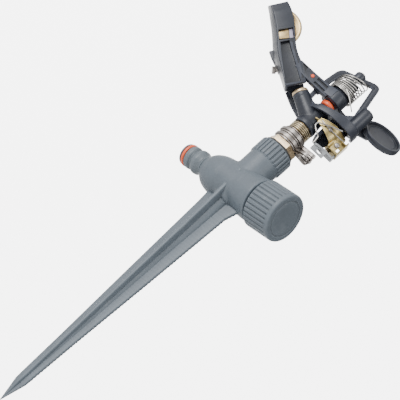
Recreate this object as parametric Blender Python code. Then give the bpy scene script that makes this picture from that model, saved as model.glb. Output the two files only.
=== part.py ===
"""Impact sprinkler head on a plastic ground spike.

World frame: +Z runs up the spike and the head's turning axis, +X points to the
end cap, -X to the hose connector.  The origin is on the spike axis at the soil
line.  Lengths below are in millimetres and are turned into metres on the way
into each mesh.
"""
import math

import bmesh
import bpy
import numpy as np
from mathutils import Matrix, Vector

# ---------------------------------------------------------------- dimensions
SOIL_TO_PIPE = 24.0        # soil line up to the axis of the cross pipe
SPIKE_TIP = -207.0         # measured from the cross pipe's axis, as all heights below
RIB = 2.6                  # rib thickness
PIPE_R = 12.2              # upright pipe
COLLAR_R = 12.9            # ribbed collar at its top
COLLAR_TOP = 37.0
BORE_R = 9.0
CAP_R = 17.0
CAP_IN, CAP_OUT = 23.0, 45.5
STUB_R = 12.3              # male stub under the cap
ORING_R = 8.0              # hose nipple's seal, standard 16 mm nipple
NIPPLE_END = -49.5
SLEEVE_R = 8.2             # brass sleeve above its hex
SLEEVE_TOP = 53.6
TUBE_R = 6.1               # turning tube inside the sleeve
HUB_R = 8.2                # head hub
HUB_BOTTOM = 62.0
HEAD_YAW = math.radians(207.4)   # head's front, counted from +X
JET_TILT = math.radians(26.0)
BARREL_R = 5.8
BARREL_TIP = 20.6          # along the barrel from the turning axis
BARREL_Z = 69.6            # where the barrel's axis meets the turning axis
DECK = 83.0
PIN_R = 1.6
ARM_Z0, ARM_Z1 = 87.6, 110.2
ARM_HUB_R = 8.2
COIL_R = 8.9
COIL_TOP = 112.4          # mean height of the last turn
BRIDGE_TOP = 119.4         # at the pin; the bridge leans up to the rear
BOSS_F = -22.0             # trip boss, behind the turning axis
BOSS_R = 5.0
DISC_R = 13.9
SPOON_F, SPOON_Z = 28.9, 77.1
SPOON_TILT = math.radians(30.5)
SPOON_L = 57.3

MM = 0.001

for item in list(bpy.data.objects):
    bpy.data.objects.remove(item, do_unlink=True)


# ---------------------------------------------------------------- materials
def material(name, colour, rough, metal=0.0):
    mat = bpy.data.materials.new(name)
    mat.use_nodes = True
    shader = mat.node_tree.nodes["Principled BSDF"]
    shader.inputs["Base Color"].default_value = (*colour, 1.0)
    shader.inputs["Roughness"].default_value = rough
    shader.inputs["Metallic"].default_value = metal
    return mat


GREY = (0.16, 0.19, 0.22)
CHARCOAL = (0.05, 0.058, 0.07)
ORANGE = (0.78, 0.12, 0.03)
BRASS = (0.62, 0.44, 0.2)
OLIVE = (0.42, 0.34, 0.14)
STEEL = (0.45, 0.43, 0.42)
RUBBER = (0.03, 0.03, 0.03)


# ---------------------------------------------------------------- frames
def world_frame():
    return Matrix.Identity(4)


def along_x(x=0.0):
    """Local Z along world +X."""
    return Matrix.Translation((x, 0, 0)) @ Matrix.Rotation(math.pi / 2, 4, "Y")


HEAD = Matrix.Rotation(HEAD_YAW, 4, "Z")


def head(f=0.0, l=0.0, z=0.0):
    return HEAD @ Matrix.Translation((f, l, z))


def aimed(base, origin, direction, up=(0, 0, 1)):
    """Local Z along direction, from origin, in the base frame."""
    w = Vector(direction).normalized()
    u = Vector(up).cross(w)
    if u.length < 1e-6:
        u = Vector((1, 0, 0))
    u.normalize()
    v = w.cross(u)
    rot = Matrix((u, v, w)).transposed().to_4x4()
    return base @ Matrix.Translation(origin) @ rot


# ---------------------------------------------------------------- solids
def raw(points, faces, frame):
    mesh = bpy.data.meshes.new("shape")
    mesh.from_pydata([tuple(p) for p in points], [], [tuple(f) for f in faces])
    mesh.transform(frame)
    bm = bmesh.new()
    bm.from_mesh(mesh)
    bmesh.ops.recalc_face_normals(bm, faces=bm.faces)
    bm.to_mesh(mesh)
    bm.free()
    obj = bpy.data.objects.new("shape", mesh)
    bpy.context.scene.collection.objects.link(obj)
    return obj


def turned(profile, frame=None, seg=40, ring=False):
    """A profile of (radius, height) turned about local Z; ring profiles are closed loops."""
    points, rows = [], []
    for r, h in profile:
        if r < 1e-6:
            rows.append([len(points)])
            points.append((0, 0, h))
        else:
            rows.append(list(range(len(points), len(points) + seg)))
            points += [(r * math.cos(2 * math.pi * k / seg), r * math.sin(2 * math.pi * k / seg), h)
                       for k in range(seg)]
    faces = []
    pairs = list(zip(rows, rows[1:]))
    if ring:
        pairs.append((rows[-1], rows[0]))
    for a, b in pairs:
        for k in range(seg):
            j = (k + 1) % seg
            if len(a) == 1 and len(b) == 1:
                continue
            if len(a) == 1:
                faces.append((a[0], b[k], b[j]))
            elif len(b) == 1:
                faces.append((a[k], a[j], b[0]))
            else:
                faces.append((a[k], a[j], b[j], b[k]))
    if not ring:
        for row in (rows[0], rows[-1]):
            if len(row) > 1:
                faces.append(tuple(row))
    return raw(points, faces, frame or world_frame())


def rod(r, h0, h1, frame=None, seg=32):
    return turned([(r, h0), (r, h1)], frame, seg)


def pipe(r0, r1, h0, h1, frame=None, seg=40):
    return turned([(r0, h0), (r1, h0), (r1, h1), (r0, h1)], frame, seg, ring=True)


def prism(outline, h0, h1, frame=None):
    """An outline of (x, y) extruded along local Z."""
    n = len(outline)
    points = [(x, y, h0) for x, y in outline] + [(x, y, h1) for x, y in outline]
    faces = [tuple(range(n)), tuple(range(n, 2 * n))]
    faces += [(k, (k + 1) % n, n + (k + 1) % n, n + k) for k in range(n)]
    return raw(points, faces, frame or world_frame())


def block(x0, x1, y0, y1, z0, z1, frame=None):
    return prism([(x0, y0), (x1, y0), (x1, y1), (x0, y1)], z0, z1, frame)


def lofted(sections, frame=None):
    """Matching closed sections of 3-D points, skinned and capped."""
    n = len(sections[0])
    points = [p for section in sections for p in section]
    faces = [tuple(range(n)), tuple(range(len(points) - n, len(points)))]
    for s in range(len(sections) - 1):
        faces += [(s * n + k, s * n + (k + 1) % n, (s + 1) * n + (k + 1) % n, (s + 1) * n + k)
                  for k in range(n)]
    return raw(points, faces, frame or world_frame())


def swept(path, section, frame=None, closed=False, up=(0, 0, 1)):
    """A section of (x, y) carried along a path without twist."""
    path = [Vector(p) for p in path]
    n, m = len(path), len(section)
    sections, ref = [], Vector(up)
    for i, p in enumerate(path):
        if closed:
            t = path[(i + 1) % n] - path[i - 1]
        else:
            t = path[min(i + 1, n - 1)] - path[max(i - 1, 0)]
        t.normalize()
        u = ref - t * ref.dot(t)
        if u.length < 1e-4:
            u = t.orthogonal()
        u.normalize()
        ref = u
        v = t.cross(u)
        stretch = 1.0
        if 0 < i < n - 1 and not closed:
            a = (path[i] - path[i - 1]).normalized()
            stretch = 1.0 / max(0.6, math.sqrt((1 + a.dot((path[i + 1] - path[i]).normalized())) / 2))
        sections.append([tuple(p + v * (x * stretch) + u * y) for x, y in section])
    if not closed:
        return lofted(sections, frame)
    points = [q for s in sections for q in s]
    faces = [(i * m + k, i * m + (k + 1) % m, ((i + 1) % n) * m + (k + 1) % m, ((i + 1) % n) * m + k)
             for i in range(n) for k in range(m)]
    return raw(points, faces, frame or world_frame())


def circle(r, seg=8):
    return [(r * math.cos(2 * math.pi * k / seg), r * math.sin(2 * math.pi * k / seg)) for k in range(seg)]


def toothed(r, depth, count, land=0.6):
    """A gear-like outline: lands at r with grooves of the given depth."""
    out = []
    for k in range(count):
        a = 2 * math.pi * k / count
        w = math.pi / count
        for s, radius in ((-land, r), (land, r), (land + 0.12, r - depth), (2 - land - 0.12, r - depth)):
            out.append((radius * math.cos(a + s * w), radius * math.sin(a + s * w)))
    return out


def boolean(a, b, operation):
    mod = a.modifiers.new("bool", "BOOLEAN")
    mod.operation = operation
    mod.solver = "EXACT"
    mod.object = b
    bpy.context.view_layer.update()
    graph = bpy.context.evaluated_depsgraph_get()
    mesh = bpy.data.meshes.new_from_object(a.evaluated_get(graph))
    a.modifiers.clear()
    a.data = mesh
    bpy.data.objects.remove(b, do_unlink=True)
    return a


def union(first, *rest):
    for other in rest:
        boolean(first, other, "UNION")
    return first


def cut(first, *rest):
    for other in rest:
        boolean(first, other, "DIFFERENCE")
    return first


def node(obj, name, colour, rough, metal=0.0, pivot=(0, 0, 0), sharp=32):
    """Name the piece, move it to world metres and set its origin on its joint's axis."""
    obj.name = name
    mesh = obj.data
    mesh.name = name
    mesh.transform(Matrix.Translation((0, 0, SOIL_TO_PIPE)))
    at = Vector(pivot) + Vector((0, 0, SOIL_TO_PIPE))
    mesh.transform(Matrix.Scale(MM, 4) @ Matrix.Translation(-at))
    obj.location = at * MM
    bm = bmesh.new()
    bm.from_mesh(mesh)
    bmesh.ops.remove_doubles(bm, verts=bm.verts, dist=1e-6)
    bmesh.ops.dissolve_degenerate(bm, edges=bm.edges, dist=1e-6)
    bmesh.ops.triangulate(bm, faces=[f for f in bm.faces if len(f.verts) > 4])
    bm.to_mesh(mesh)
    bm.free()
    mesh.shade_smooth()
    mesh.set_sharp_from_angle(angle=math.radians(sharp))
    mesh.materials.clear()
    mesh.materials.append(material(name, colour, rough, metal))
    return obj


# ---------------------------------------------------------------- spike body
def rib_profile(side):
    """Outer edge of a rib, as (reach, height) from top to tip."""
    if side == "x+":
        return [(12.0, -8.0), (16.0, -13.5), (15.2, -16.5), (12.6, -24.0), (9.3, -92.0), (6.2, -150.0), (4.5, -190.0)]
    if side == "x-":
        return [(12.0, -8.0), (13.6, -14.5), (12.6, -24.0), (9.3, -92.0), (6.2, -150.0), (4.5, -190.0)]
    return [(13.0, 4.0), (12.0, -4.0), (10.2, -24.0), (7.4, -92.0), (5.0, -150.0), (3.0, -190.0)]


def fin(right, left, angle, tip):
    """One full-width fin through the spike's axis, right and left edges as (reach, height)."""
    outline = [(x, z) for x, z in right] + [(0.45, tip)] + [(-0.45, tip)] + [(-x, z) for x, z in reversed(left)]
    t = RIB / 2
    points = []
    for s in (-1, 1):
        for x, z in outline:
            k = 1.0 if z > -185 else 0.4 + 0.6 * (z - SPIKE_TIP) / 22.0
            points.append((x, s * t * k, z))
    n = len(outline)
    faces = [tuple(range(n)), tuple(range(n, 2 * n))]
    faces += [(k, (k + 1) % n, n + (k + 1) % n, n + k) for k in range(n)]
    return raw(points, faces, Matrix.Rotation(angle, 4, "Z"))


def spike_body():
    upright = turned([(0, -15.0), (8.5, -13.5), (11.4, -8.0), (12.0, 0.0), (12.1, 12.0), (12.2, 24.9),
                      (COLLAR_R - 0.5, 25.0), (COLLAR_R - 0.5, COLLAR_TOP - 0.6), (COLLAR_R - 1.3, COLLAR_TOP), (0, COLLAR_TOP)], seg=36)
    cross = turned([(0, -29.6), (7.7, -29.6), (8.7, -28.2), (10.2, -26.2), (11.8, -23.8), (13.0, -20.6), (13.9, -17.0),
                    (14.35, -12.0), (14.2, -4.0), (14.2, 4.0), (14.8, 10.0), (15.4, 16.0), (15.6, 20.9), (STUB_R, 21.0),
                    (STUB_R, 40.0), (STUB_R - 0.8, 40.8), (0, 40.8)], along_x(), seg=40)
    collar = prism(toothed(COLLAR_R, 0.8, 24, 0.62), 25.2, COLLAR_TOP - 0.8)
    body = union(upright, cross, collar)
    core = turned([(0, -10), (5.2, -12), (3.4, -60), (2.2, -150), (1.5, -188.3), (0, -188.3)], seg=16)
    body = union(body, core)
    body = union(body, fin(rib_profile("x+"), rib_profile("x-"), 0.0, SPIKE_TIP))
    body = union(body, fin(rib_profile("y"), rib_profile("y"), math.pi / 2, SPIKE_TIP + 0.7))
    # water ways: along the cross pipe, up the upright pipe, and the threaded bore for the sleeve
    body = cut(body, turned([(0, -30.5), (6.5, -30.5), (6.5, -17.0), (BORE_R, -14.5), (BORE_R, 41.5), (0, 41.5)], along_x(), seg=32))
    body = cut(body, turned([(0, 0), (7.4, 0), (7.4, 20.0), (9.4, 20.0), (9.4, COLLAR_TOP + 1), (0, COLLAR_TOP + 1)], seg=32))
    return node(body, "spike_body", GREY, 0.45)


# ---------------------------------------------------------------- hose side
def hose_connector():
    body = turned([
        (4.4, NIPPLE_END), (7.0, NIPPLE_END), (7.5, NIPPLE_END + 0.5), (7.5, -48.0), (6.1, -47.9), (6.1, -44.7), (7.9, -44.6),
        (8.0, -44.1), (8.0, -41.6), (7.5, -40.9), (6.7, -40.5), (6.7, -39.5), (7.6, -38.4), (8.4, -37.4), (8.9, -36.0),
        (8.7, -34.6), (7.2, -32.6), (6.8, -31.4), (7.6, -30.4), (7.6, -29.95), (6.2, -29.9), (6.2, -19.0), (4.4, -19.0)],
        along_x(), seg=26, ring=True)
    return node(body, "hose_connector", GREY, 0.4)


def ring_seal(name, x, big, small, colour, rough, seg=36, sides=10):
    points = [(big + small * math.cos(2 * math.pi * k / sides), x + small * math.sin(2 * math.pi * k / sides))
              for k in range(sides)]
    return node(turned(points, along_x(), seg, ring=True), name, colour, rough)


# ---------------------------------------------------------------- end cap
def end_cap():
    length = CAP_OUT - CAP_IN
    smooth = turned([(0, 12.0), (CAP_R - 0.7, 12.0), (CAP_R - 0.7, 18.8), (CAP_R, 19.2), (CAP_R, length - 1.3),
                     (CAP_R - 0.4, length - 0.4), (CAP_R - 1.3, length), (12.3, length), (11.9, length - 0.5), (11.3, length - 0.5),
                     (10.9, length - 0.1), (0, length - 0.1)], along_x(CAP_IN), seg=40)
    grip = prism(toothed(CAP_R, 0.75, 32, 0.7), 0.0, 19.5, along_x(CAP_IN))
    body = union(smooth, grip)
    body = cut(body, turned([(0, -1), (13.0, -1), (13.0, 19.1), (12.4, 20.1), (0, 20.1)], along_x(CAP_IN), seg=30))
    return node(body, "end_cap", GREY, 0.4, pivot=(CAP_IN, 0, 0))


# ---------------------------------------------------------------- bearing
def bearing_sleeve():
    hexa = [(10.9 * math.cos(math.pi / 3 * k + 0.35), 10.9 * math.sin(math.pi / 3 * k + 0.35)) for k in range(6)]
    body = union(turned([(0, 24.0), (9.0, 24.0), (9.0, 37.6), (SLEEVE_R, 37.6), (SLEEVE_R, SLEEVE_TOP - 0.5), (SLEEVE_R - 0.5, SLEEVE_TOP), (0, SLEEVE_TOP)], seg=40),
                 prism(hexa, 38.9, 43.4))
    body = cut(body, rod(TUBE_R + 0.3, 20, 60, seg=40))
    return node(body, "bearing_sleeve", BRASS, 0.3, 1.0)


def bearing_tube():
    body = turned([(4.2, 21.0), (8.2, 21.0), (8.2, 22.4), (TUBE_R, 22.6), (TUBE_R, 66.0), (4.2, 66.0)], seg=40, ring=True)
    return node(body, "bearing_tube", BRASS, 0.3, 1.0)


def coil(name, r, wire, z0, z1, turns, flat=0.35, sides=8, per=20, start=0.0, tails=(), frame=None, colour=STEEL, pivot=(0, 0, 0), grow=1.0, lean=0.0):
    """A helix; grow > 1 opens the upper turns, lean tips them up to the rear."""
    path = []
    steps = int(turns * per)
    for k in range(steps + 1):
        t = k / steps
        a = start + 2 * math.pi * turns * t
        path.append((r * math.cos(a), r * math.sin(a), z0 + (z1 - z0) * t ** grow - lean * r * math.cos(a) * t * t))
    path = list(tails[0]) + path if tails else path
    path = path + list(tails[1]) if len(tails) > 1 else path
    return node(swept(path, circle(wire, sides), frame, up=(0, 0, 1)), name, colour, 0.28, 1.0, pivot=pivot)


# ---------------------------------------------------------------- trip collars
def trip_collar(name, z0, z1, gap_angle, reach):
    """A stamped spring clip round the sleeve, its two ends bent out as squeeze tabs."""
    r, t = 8.9, 0.9
    half = math.radians(13)
    path = []
    side = Vector((-math.sin(gap_angle), math.cos(gap_angle), 0))
    out = Vector((math.cos(gap_angle), math.sin(gap_angle), 0))
    path += [out * reach + side * 4.6, out * (reach - 4) + side * 3.6, out * (r + 1.8) + side * 2.6]
    n = 26
    for k in range(n + 1):
        a = gap_angle + half + (2 * math.pi - 2 * half) * k / n
        path.append(Vector((math.cos(a), math.sin(a), 0)) * r)
    path += [out * (r + 1.8) - side * 2.6, out * (reach - 4) - side * 3.6, out * reach - side * 4.6]
    h = (z1 - z0) / 2
    zc = (z0 + z1) / 2
    strip = [(-t / 2, -h), (t / 2 + 0.0, -h), (t / 2 + 0.7, -h * 0.35), (t / 2 + 0.7, h * 0.35), (t / 2, h), (-t / 2, h)]
    path = [(p[0], p[1], zc) for p in path]
    return node(swept(path, strip), name, STEEL, 0.32, 1.0)


# ---------------------------------------------------------------- head
def screw_frame():
    """Axis of the diffuser screw, pointing down and forward out of its bracket."""
    return aimed(HEAD, (40.6, -9.6, 86.2), (0.7, 0, -0.71))


def head_housing():
    tilt = aimed(HEAD, (0, 0, BARREL_Z), (math.cos(JET_TILT), 0, math.sin(JET_TILT)))
    hub = turned([(0, HUB_BOTTOM), (HUB_R, HUB_BOTTOM), (HUB_R, HUB_BOTTOM + 3.2), (HUB_R - 0.8, HUB_BOTTOM + 4.0), (7.4, 74.0), (6.6, 79.0), (5.6, DECK - 0.6), (5.2, DECK), (0, DECK)], seg=40)
    barrel = turned([(0, -3.0), (7.2, -3.0), (6.9, 6.0), (6.2, 13.0), (BARREL_R, BARREL_TIP), (0, BARREL_TIP)], tilt, seg=32)
    body = union(hub, barrel)
    # deck and skirt over the trip gear
    deck = lofted([[(2.0, -5.0, 76.6), (2.0, 7.0, 76.6), (2.0, 7.0, 79.4), (2.0, -5.0, 79.4)],
                   [(-10.0, -7.0, 79.6), (-10.0, 11.5, 79.6), (-10.0, 11.5, 82.4), (-10.0, -7.0, 82.4)],
                   [(-24.5, -6.0, 82.4), (-24.5, 9.5, 82.4), (-24.5, 9.5, 84.6), (-24.5, -6.0, 84.6)]], HEAD)
    body = union(body, deck)
    wall = []
    for f, l, top, low in ((5.0, 7.0, 78.0, 75.0), (1.0, 9.6, 79.4, 75.2), (-6.0, 11.3, 81.4, 76.4), (-14.0, 11.6, 83.2, 76.8), (-20.0, 10.6, 84.2, 77.0), (-25.0, 7.4, 84.7, 77.6), (-27.0, 2.5, 84.7, 78.2), (-27.2, -3.0, 84.7, 79.0)):
        wall.append((f, l, top, low))
    sections = []
    for i, (f, l, top, low) in enumerate(wall):
        a = Vector(wall[min(i + 1, len(wall) - 1)][:2]) - Vector(wall[max(i - 1, 0)][:2])
        nrm = Vector((-a.y, a.x)).normalized() * 1.1
        if nrm.dot(Vector((f + 10, l))) < 0:
            nrm = -nrm
        sections.append([(f + nrm.x, l + nrm.y, low), (f + nrm.x, l + nrm.y, top), (f - nrm.x, l - nrm.y, top), (f - nrm.x, l - nrm.y, low)])
    body = union(body, lofted(sections, HEAD))
    # boss of the trip pin
    body = union(body, turned([(0, 81.0), (BOSS_R, 81.0), (BOSS_R, 102.0), (BOSS_R - 0.8, 103.2), (0, 103.2)], head(BOSS_F, 0, 0), seg=28))
    # bridge over the arm spring
    path = [(12.4, 0, 75.0), (13.4, 0, 90.0), (12.8, 0, 100.0), (11.8, 0, 108.0), (10.0, 0, 111.0), (-11.2, 0, 119.6),
            (-14.0, 0, 119.4), (-15.3, 0, 113.0), (-18.0, 0, 101.0), (-20.0, 0, 90.0)]
    section = [(-2.1, -1.6), (2.1, -1.6), (2.1, 1.6), (-2.1, 1.6)]
    body = union(body, swept(path, section, HEAD, up=(-1, 0, 0)))
    body = union(body, turned([(0, BRIDGE_TOP - 5.2), (4.0, BRIDGE_TOP - 5.2), (4.0, BRIDGE_TOP - 0.4), (3.5, BRIDGE_TOP), (0, BRIDGE_TOP)], HEAD, seg=24))
    # gusset between neck and boss
    body = union(body, lofted([[(-6.4, -1.3, 78.6), (-6.4, 1.3, 78.6), (-6.4, 1.3, 83.9), (-6.4, -1.3, 83.9)],
                               [(-18.4, -1.3, 82.0), (-18.4, 1.3, 82.0), (-18.4, 1.3, 88.5), (-18.4, -1.3, 88.5)]], HEAD))
    # bracket under the jet, which carries the diffuser screw
    arm = [(4.0, -3.6, 69.4), (12.0, -6.4, 72.6), (19.5, -9.0, 76.4), (28.0, -9.6, 80.3), (34.0, -9.6, 82.6), (40.0, -9.6, 84.8), (50.0, -9.6, 88.2), (55.8, -9.6, 91.0)]
    body = union(body, swept(arm, [(-1.5, -2.3), (1.5, -2.3), (1.5, 2.3), (-1.5, 2.3)], HEAD))
    body = union(body, lofted([[(13.0, -8.3, 74.4), (13.0, -5.9, 74.4), (13.0, -5.9, 76.4), (13.0, -8.3, 76.4)],
                               [(19.5, -10.2, 76.6), (19.5, -7.8, 76.6), (19.5, -7.8, 82.6), (19.5, -10.2, 82.6)],
                               [(28.0, -10.8, 80.3), (28.0, -8.4, 80.3), (28.0, -8.4, 86.0), (28.0, -10.8, 86.0)],
                               [(34.4, -10.8, 82.8), (34.4, -8.4, 82.8), (34.4, -8.4, 86.4), (34.4, -10.8, 86.4)]], HEAD))
    body = union(body, turned([(0, -4.4), (2.9, -4.4), (2.9, 3.4), (0, 3.4)], screw_frame(), seg=20))
    # stop for the trip lever
    # water way and bores
    body = cut(body, turned([(0, HUB_BOTTOM - 1), (TUBE_R + 0.3, HUB_BOTTOM - 1), (TUBE_R + 0.3, 66.4), (4.3, 66.5), (4.3, 71.0), (0, 74.0)], seg=32))
    body = cut(body, turned([(0, 0), (4.0, 0), (4.0, BARREL_TIP - 6.3), (4.9, BARREL_TIP - 6.3), (4.9, BARREL_TIP + 2), (0, BARREL_TIP + 2)], tilt, seg=28))
    body = cut(body, rod(PIN_R + 0.3, DECK - 5.0, BRIDGE_TOP + 2, seg=16))
    body = cut(body, rod(1.8, 78.0, 99.0, head(BOSS_F, 0, 0), seg=16))
    body = cut(body, rod(1.85, -12, 8, screw_frame(), seg=16))
    return node(body, "head_housing", CHARCOAL, 0.42)


def nozzle():
    tilt = aimed(HEAD, (0, 0, BARREL_Z), (math.cos(JET_TILT), 0, math.sin(JET_TILT)))
    b = BARREL_TIP
    body = turned([(2.3, b - 6.0), (4.6, b - 6.0), (4.6, b + 0.3), (5.5, b + 0.3), (5.6, b + 0.8), (5.3, b + 2.0), (4.4, b + 2.9), (3.2, b + 3.0), (2.3, b + 2.2)], tilt, seg=36, ring=True)
    return node(body, "nozzle", BRASS, 0.25, 1.0)


def fulcrum_pin():
    return node(turned([(0, DECK - 4.6), (PIN_R, DECK - 4.6), (PIN_R, BRIDGE_TOP + 0.4), (2.4, BRIDGE_TOP + 0.4), (2.2, BRIDGE_TOP + 1.2), (0, BRIDGE_TOP + 1.5)], seg=20), "fulcrum_pin", STEEL, 0.25, 1.0)


def arm_washer():
    return node(turned([(PIN_R + 0.3, 83.4), (4.4, 83.4), (5.3, 83.9), (5.6, 85.2), (5.3, 86.6), (4.4, 87.2), (PIN_R + 0.3, 87.2)], seg=32, ring=True), "arm_washer", ORANGE, 0.4)


def spoon_point(s, t, l):
    c, n = math.cos(SPOON_TILT), math.sin(SPOON_TILT)
    return (SPOON_F + s * c - t * n, l, SPOON_Z + s * n + t * c)


# spoon: near lower, near upper, far upper and far lower corner of each section, as (s, t) pairs along and across it
SPOON_SECTIONS = (
    (-3.2, -4.2, -1.0, 11.0, -1.0, 11.4, -2.6, -2.4), (6.0, -3.3, 6.0, 11.5, 6.0, 11.9, 6.0, -2.6), (12.0, -2.9, 12.0, 11.6, 12.0, 12.0, 12.0, -2.8),
    (18.0, -2.7, 18.0, 11.0, 18.0, 11.6, 18.0, -3.1), (24.0, -2.0, 24.0, 11.2, 24.0, 11.8, 24.0, -2.9), (30.0, -0.7, 30.0, 12.3, 30.0, 12.6, 30.0, -2.2),
    (36.0, 0.7, 36.0, 13.4, 36.0, 13.6, 36.0, -0.9), (43.0, 1.7, 43.0, 14.7, 43.0, 14.9, 43.0, 0.5), (50.0, 2.1, 50.0, 15.2, 51.0, 15.4, 51.0, 1.6),
    (SPOON_L, 2.1, SPOON_L + 0.6, 14.4, 62.2, 15.4, 62.0, 2.8))


def spoon_slot(rows, l0, l1):
    """Cutter that follows the spoon: each row is its place along the spoon and its lower and upper edge."""
    return lofted([[spoon_point(s, u, l0), spoon_point(s, w, l0), spoon_point(s, w, l1), spoon_point(s, u, l1)] for s, u, w in rows], HEAD)


def weight(radius, drop, l0, l1):
    """Disc across the channel, cut off along a line just above the channel's floor."""
    cs, ct = 41.0, 5.9
    outline = []
    for k in range(33):
        a = math.radians(-12.0 + 204.0 * k / 32)
        outline.append((cs + radius * math.cos(a), ct + radius * math.sin(a)))
    outline = [(s, t) for s, t in outline if t > 2.8 + drop + (s - 28.0) * 0.1]
    outline += [(cs - radius + 0.3, 2.7 + drop), (cs + radius - 0.5, 5.2 + drop)]
    return lofted([[spoon_point(s, t, l) for s, t in outline] for l in (l0, l1)], HEAD)


def drive_arm():
    hub = turned([(0, ARM_Z0), (ARM_HUB_R - 0.6, ARM_Z0), (ARM_HUB_R, ARM_Z0 + 0.6), (ARM_HUB_R, 96.6), (6.6, 97.2), (5.6, 97.3), (5.6, ARM_Z1), (0, ARM_Z1)], seg=32)
    body = union(hub, block(5.7, 33.0, 2.6, 7.4, 86.4, 94.0, HEAD))
    # grooves and land of the front bar
    body = cut(body, block(9.2, 17.0, 6.6, 8.0, 87.6, 89.4, HEAD), block(9.2, 17.0, 6.6, 8.0, 90.9, 92.7, HEAD))
    # spoon: a channel open along its top, with a window through its near wall
    shell = lofted([[spoon_point(s0, t0, 7.0), spoon_point(s1, t1, 7.0), spoon_point(s2, t2, -6.0), spoon_point(s3, t3, -6.0)] for s0, t0, s1, t1, s2, t2, s3, t3 in SPOON_SECTIONS], HEAD)
    body = union(body, shell)
    # jet channel, cut from the top
    body = cut(body, raw([spoon_point(s, t, l) for s, u, w in ((-3, -1.6, 18), (8, -0.6, 18), (28, 2.0, 18), (38, 3.8, 18), (51, 4.0, 18))
                          for t, l in ((u, -4.0), (u, 4.4), (w, 4.4), (w, -4.0))],
                         [(0, 1, 2, 3), (16, 17, 18, 19)] + [(4 * i + k, 4 * i + (k + 1) % 4, 4 * i + 4 + (k + 1) % 4, 4 * i + 4 + k) for i in range(4) for k in range(4)], HEAD))
    # recess in the near wall, and its window
    body = cut(body, spoon_slot(((0.2, -2.6, 7.2), (12.0, -1.2, 7.2), (21.0, -0.3, 7.2), (28.6, 1.0, 7.3)), 6.0, 8.5))
    body = cut(body, spoon_slot(((30.0, 0.9, 11.4), (37.6, 2.0, 12.3)), 4.1, 8.5))
    # slot for the weight
    body = cut(body, weight(DISC_R + 0.3, -0.3, 1.3, 4.4))
    # tail and counterweight dish
    tail = lofted([[(-4.0, -2.6, 87.8), (-4.0, -7.0, 87.8), (-4.0, -7.0, 92.6), (-4.0, -2.6, 92.6)],
                   [(-14.0, -5.6, 88.0), (-14.0, -8.6, 88.0), (-14.0, -8.6, 92.4), (-14.0, -5.6, 92.4)],
                   [(-25.0, -7.4, 89.0), (-25.0, -10.6, 89.4), (-25.0, -11.0, 97.0), (-25.0, -7.8, 96.6)],
                   [(-32.0, -8.0, 92.2), (-32.0, -11.0, 92.6), (-32.0, -12.6, 101.2), (-32.0, -9.6, 100.8)]], HEAD)
    body = union(body, tail)
    dish = dish_frame()
    outline = []
    for k in range(28):
        a = 2 * math.pi * k / 28
        outline.append((14.8 * math.cos(a), 13.2 * math.sin(a)))
    inner = [(0.84 * x - 0.1, 0.84 * y) for x, y in outline]
    body = union(body, prism(outline, -3.0, 2.2, dish))
    body = cut(body, prism(inner, 0.0, 3.0, dish))
    body = cut(body, rod(PIN_R + 0.3, 80, 113, seg=16))
    return node(body, "drive_arm", CHARCOAL, 0.4)


def dish_frame():
    u = Vector((-0.99, -0.1, 0.12)).normalized()
    w = Vector((-0.146, 0.766, 0.62))
    w = (w - u * w.dot(u)).normalized()
    v = w.cross(u)
    rot = Matrix((u, v, w)).transposed().to_4x4()
    return HEAD @ Matrix.Translation((-38.8, -9.6, 100.8)) @ rot


def deflector_disc():
    return node(weight(DISC_R, 0.0, 1.6, 4.0), "deflector_disc", BRASS, 0.35, 1.0)


def arm_plug():
    return node(turned([(0, 7.7), (1.3, 7.7), (1.3, 8.3), (0.9, 8.7), (0, 8.8)], aimed(HEAD, (20.9, 0, 90.9), (0, 1, 0)), seg=16), "arm_plug", ORANGE, 0.4)


# ---------------------------------------------------------------- trip gear
def trip_frame():
    return head(BOSS_F, 0, 0)


def trip_pin():
    return node(turned([(0, 60.6), (2.6, 60.6), (2.6, 61.6), (1.5, 61.7), (1.5, 98.0), (0, 98.0)], trip_frame(), seg=20), "trip_pin", STEEL, 0.25, 1.0, pivot=tuple(trip_frame().translation))


def trip_lever():
    """Folded brass bracket that turns on the pin, with a plate reaching forward under the skirt."""
    frame = trip_frame()
    sleeve = rod(3.2, 63.0, 77.0, frame, seg=24)
    plate = lofted([[(-3.0, 1.0, 63.0), (-3.0, 2.4, 63.0), (-3.0, 2.4, 75.4), (-3.0, 1.0, 75.4)],
                    [(3.0, 7.2, 64.4), (3.0, 8.6, 64.4), (3.0, 8.6, 75.0), (3.0, 7.2, 75.0)],
                    [(10.0, 8.8, 66.6), (10.0, 10.2, 66.6), (10.0, 10.2, 73.8), (10.0, 8.8, 73.8)],
                    [(17.0, 8.2, 68.6), (17.0, 9.4, 68.6), (17.0, 9.4, 72.6), (17.0, 8.2, 72.6)]], frame)
    body = union(sleeve, plate)
    body = union(body, block(-7.0, 1.4, -2.6, 6.0, 62.2, 64.0, frame), block(-7.4, -5.8, -2.6, 6.0, 62.2, 74.6, frame), block(-7.0, -2.0, 3.8, 5.4, 62.4, 73.4, frame))
    body = cut(body, rod(1.8, 58, 80, frame, seg=20), rod(1.3, 4.0, 12.0, aimed(frame, (1.4, 0, 70.4), (0, 1, 0)), seg=16))
    return node(body, "trip_lever", OLIVE, 0.35, 1.0, pivot=tuple(frame.translation))


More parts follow.
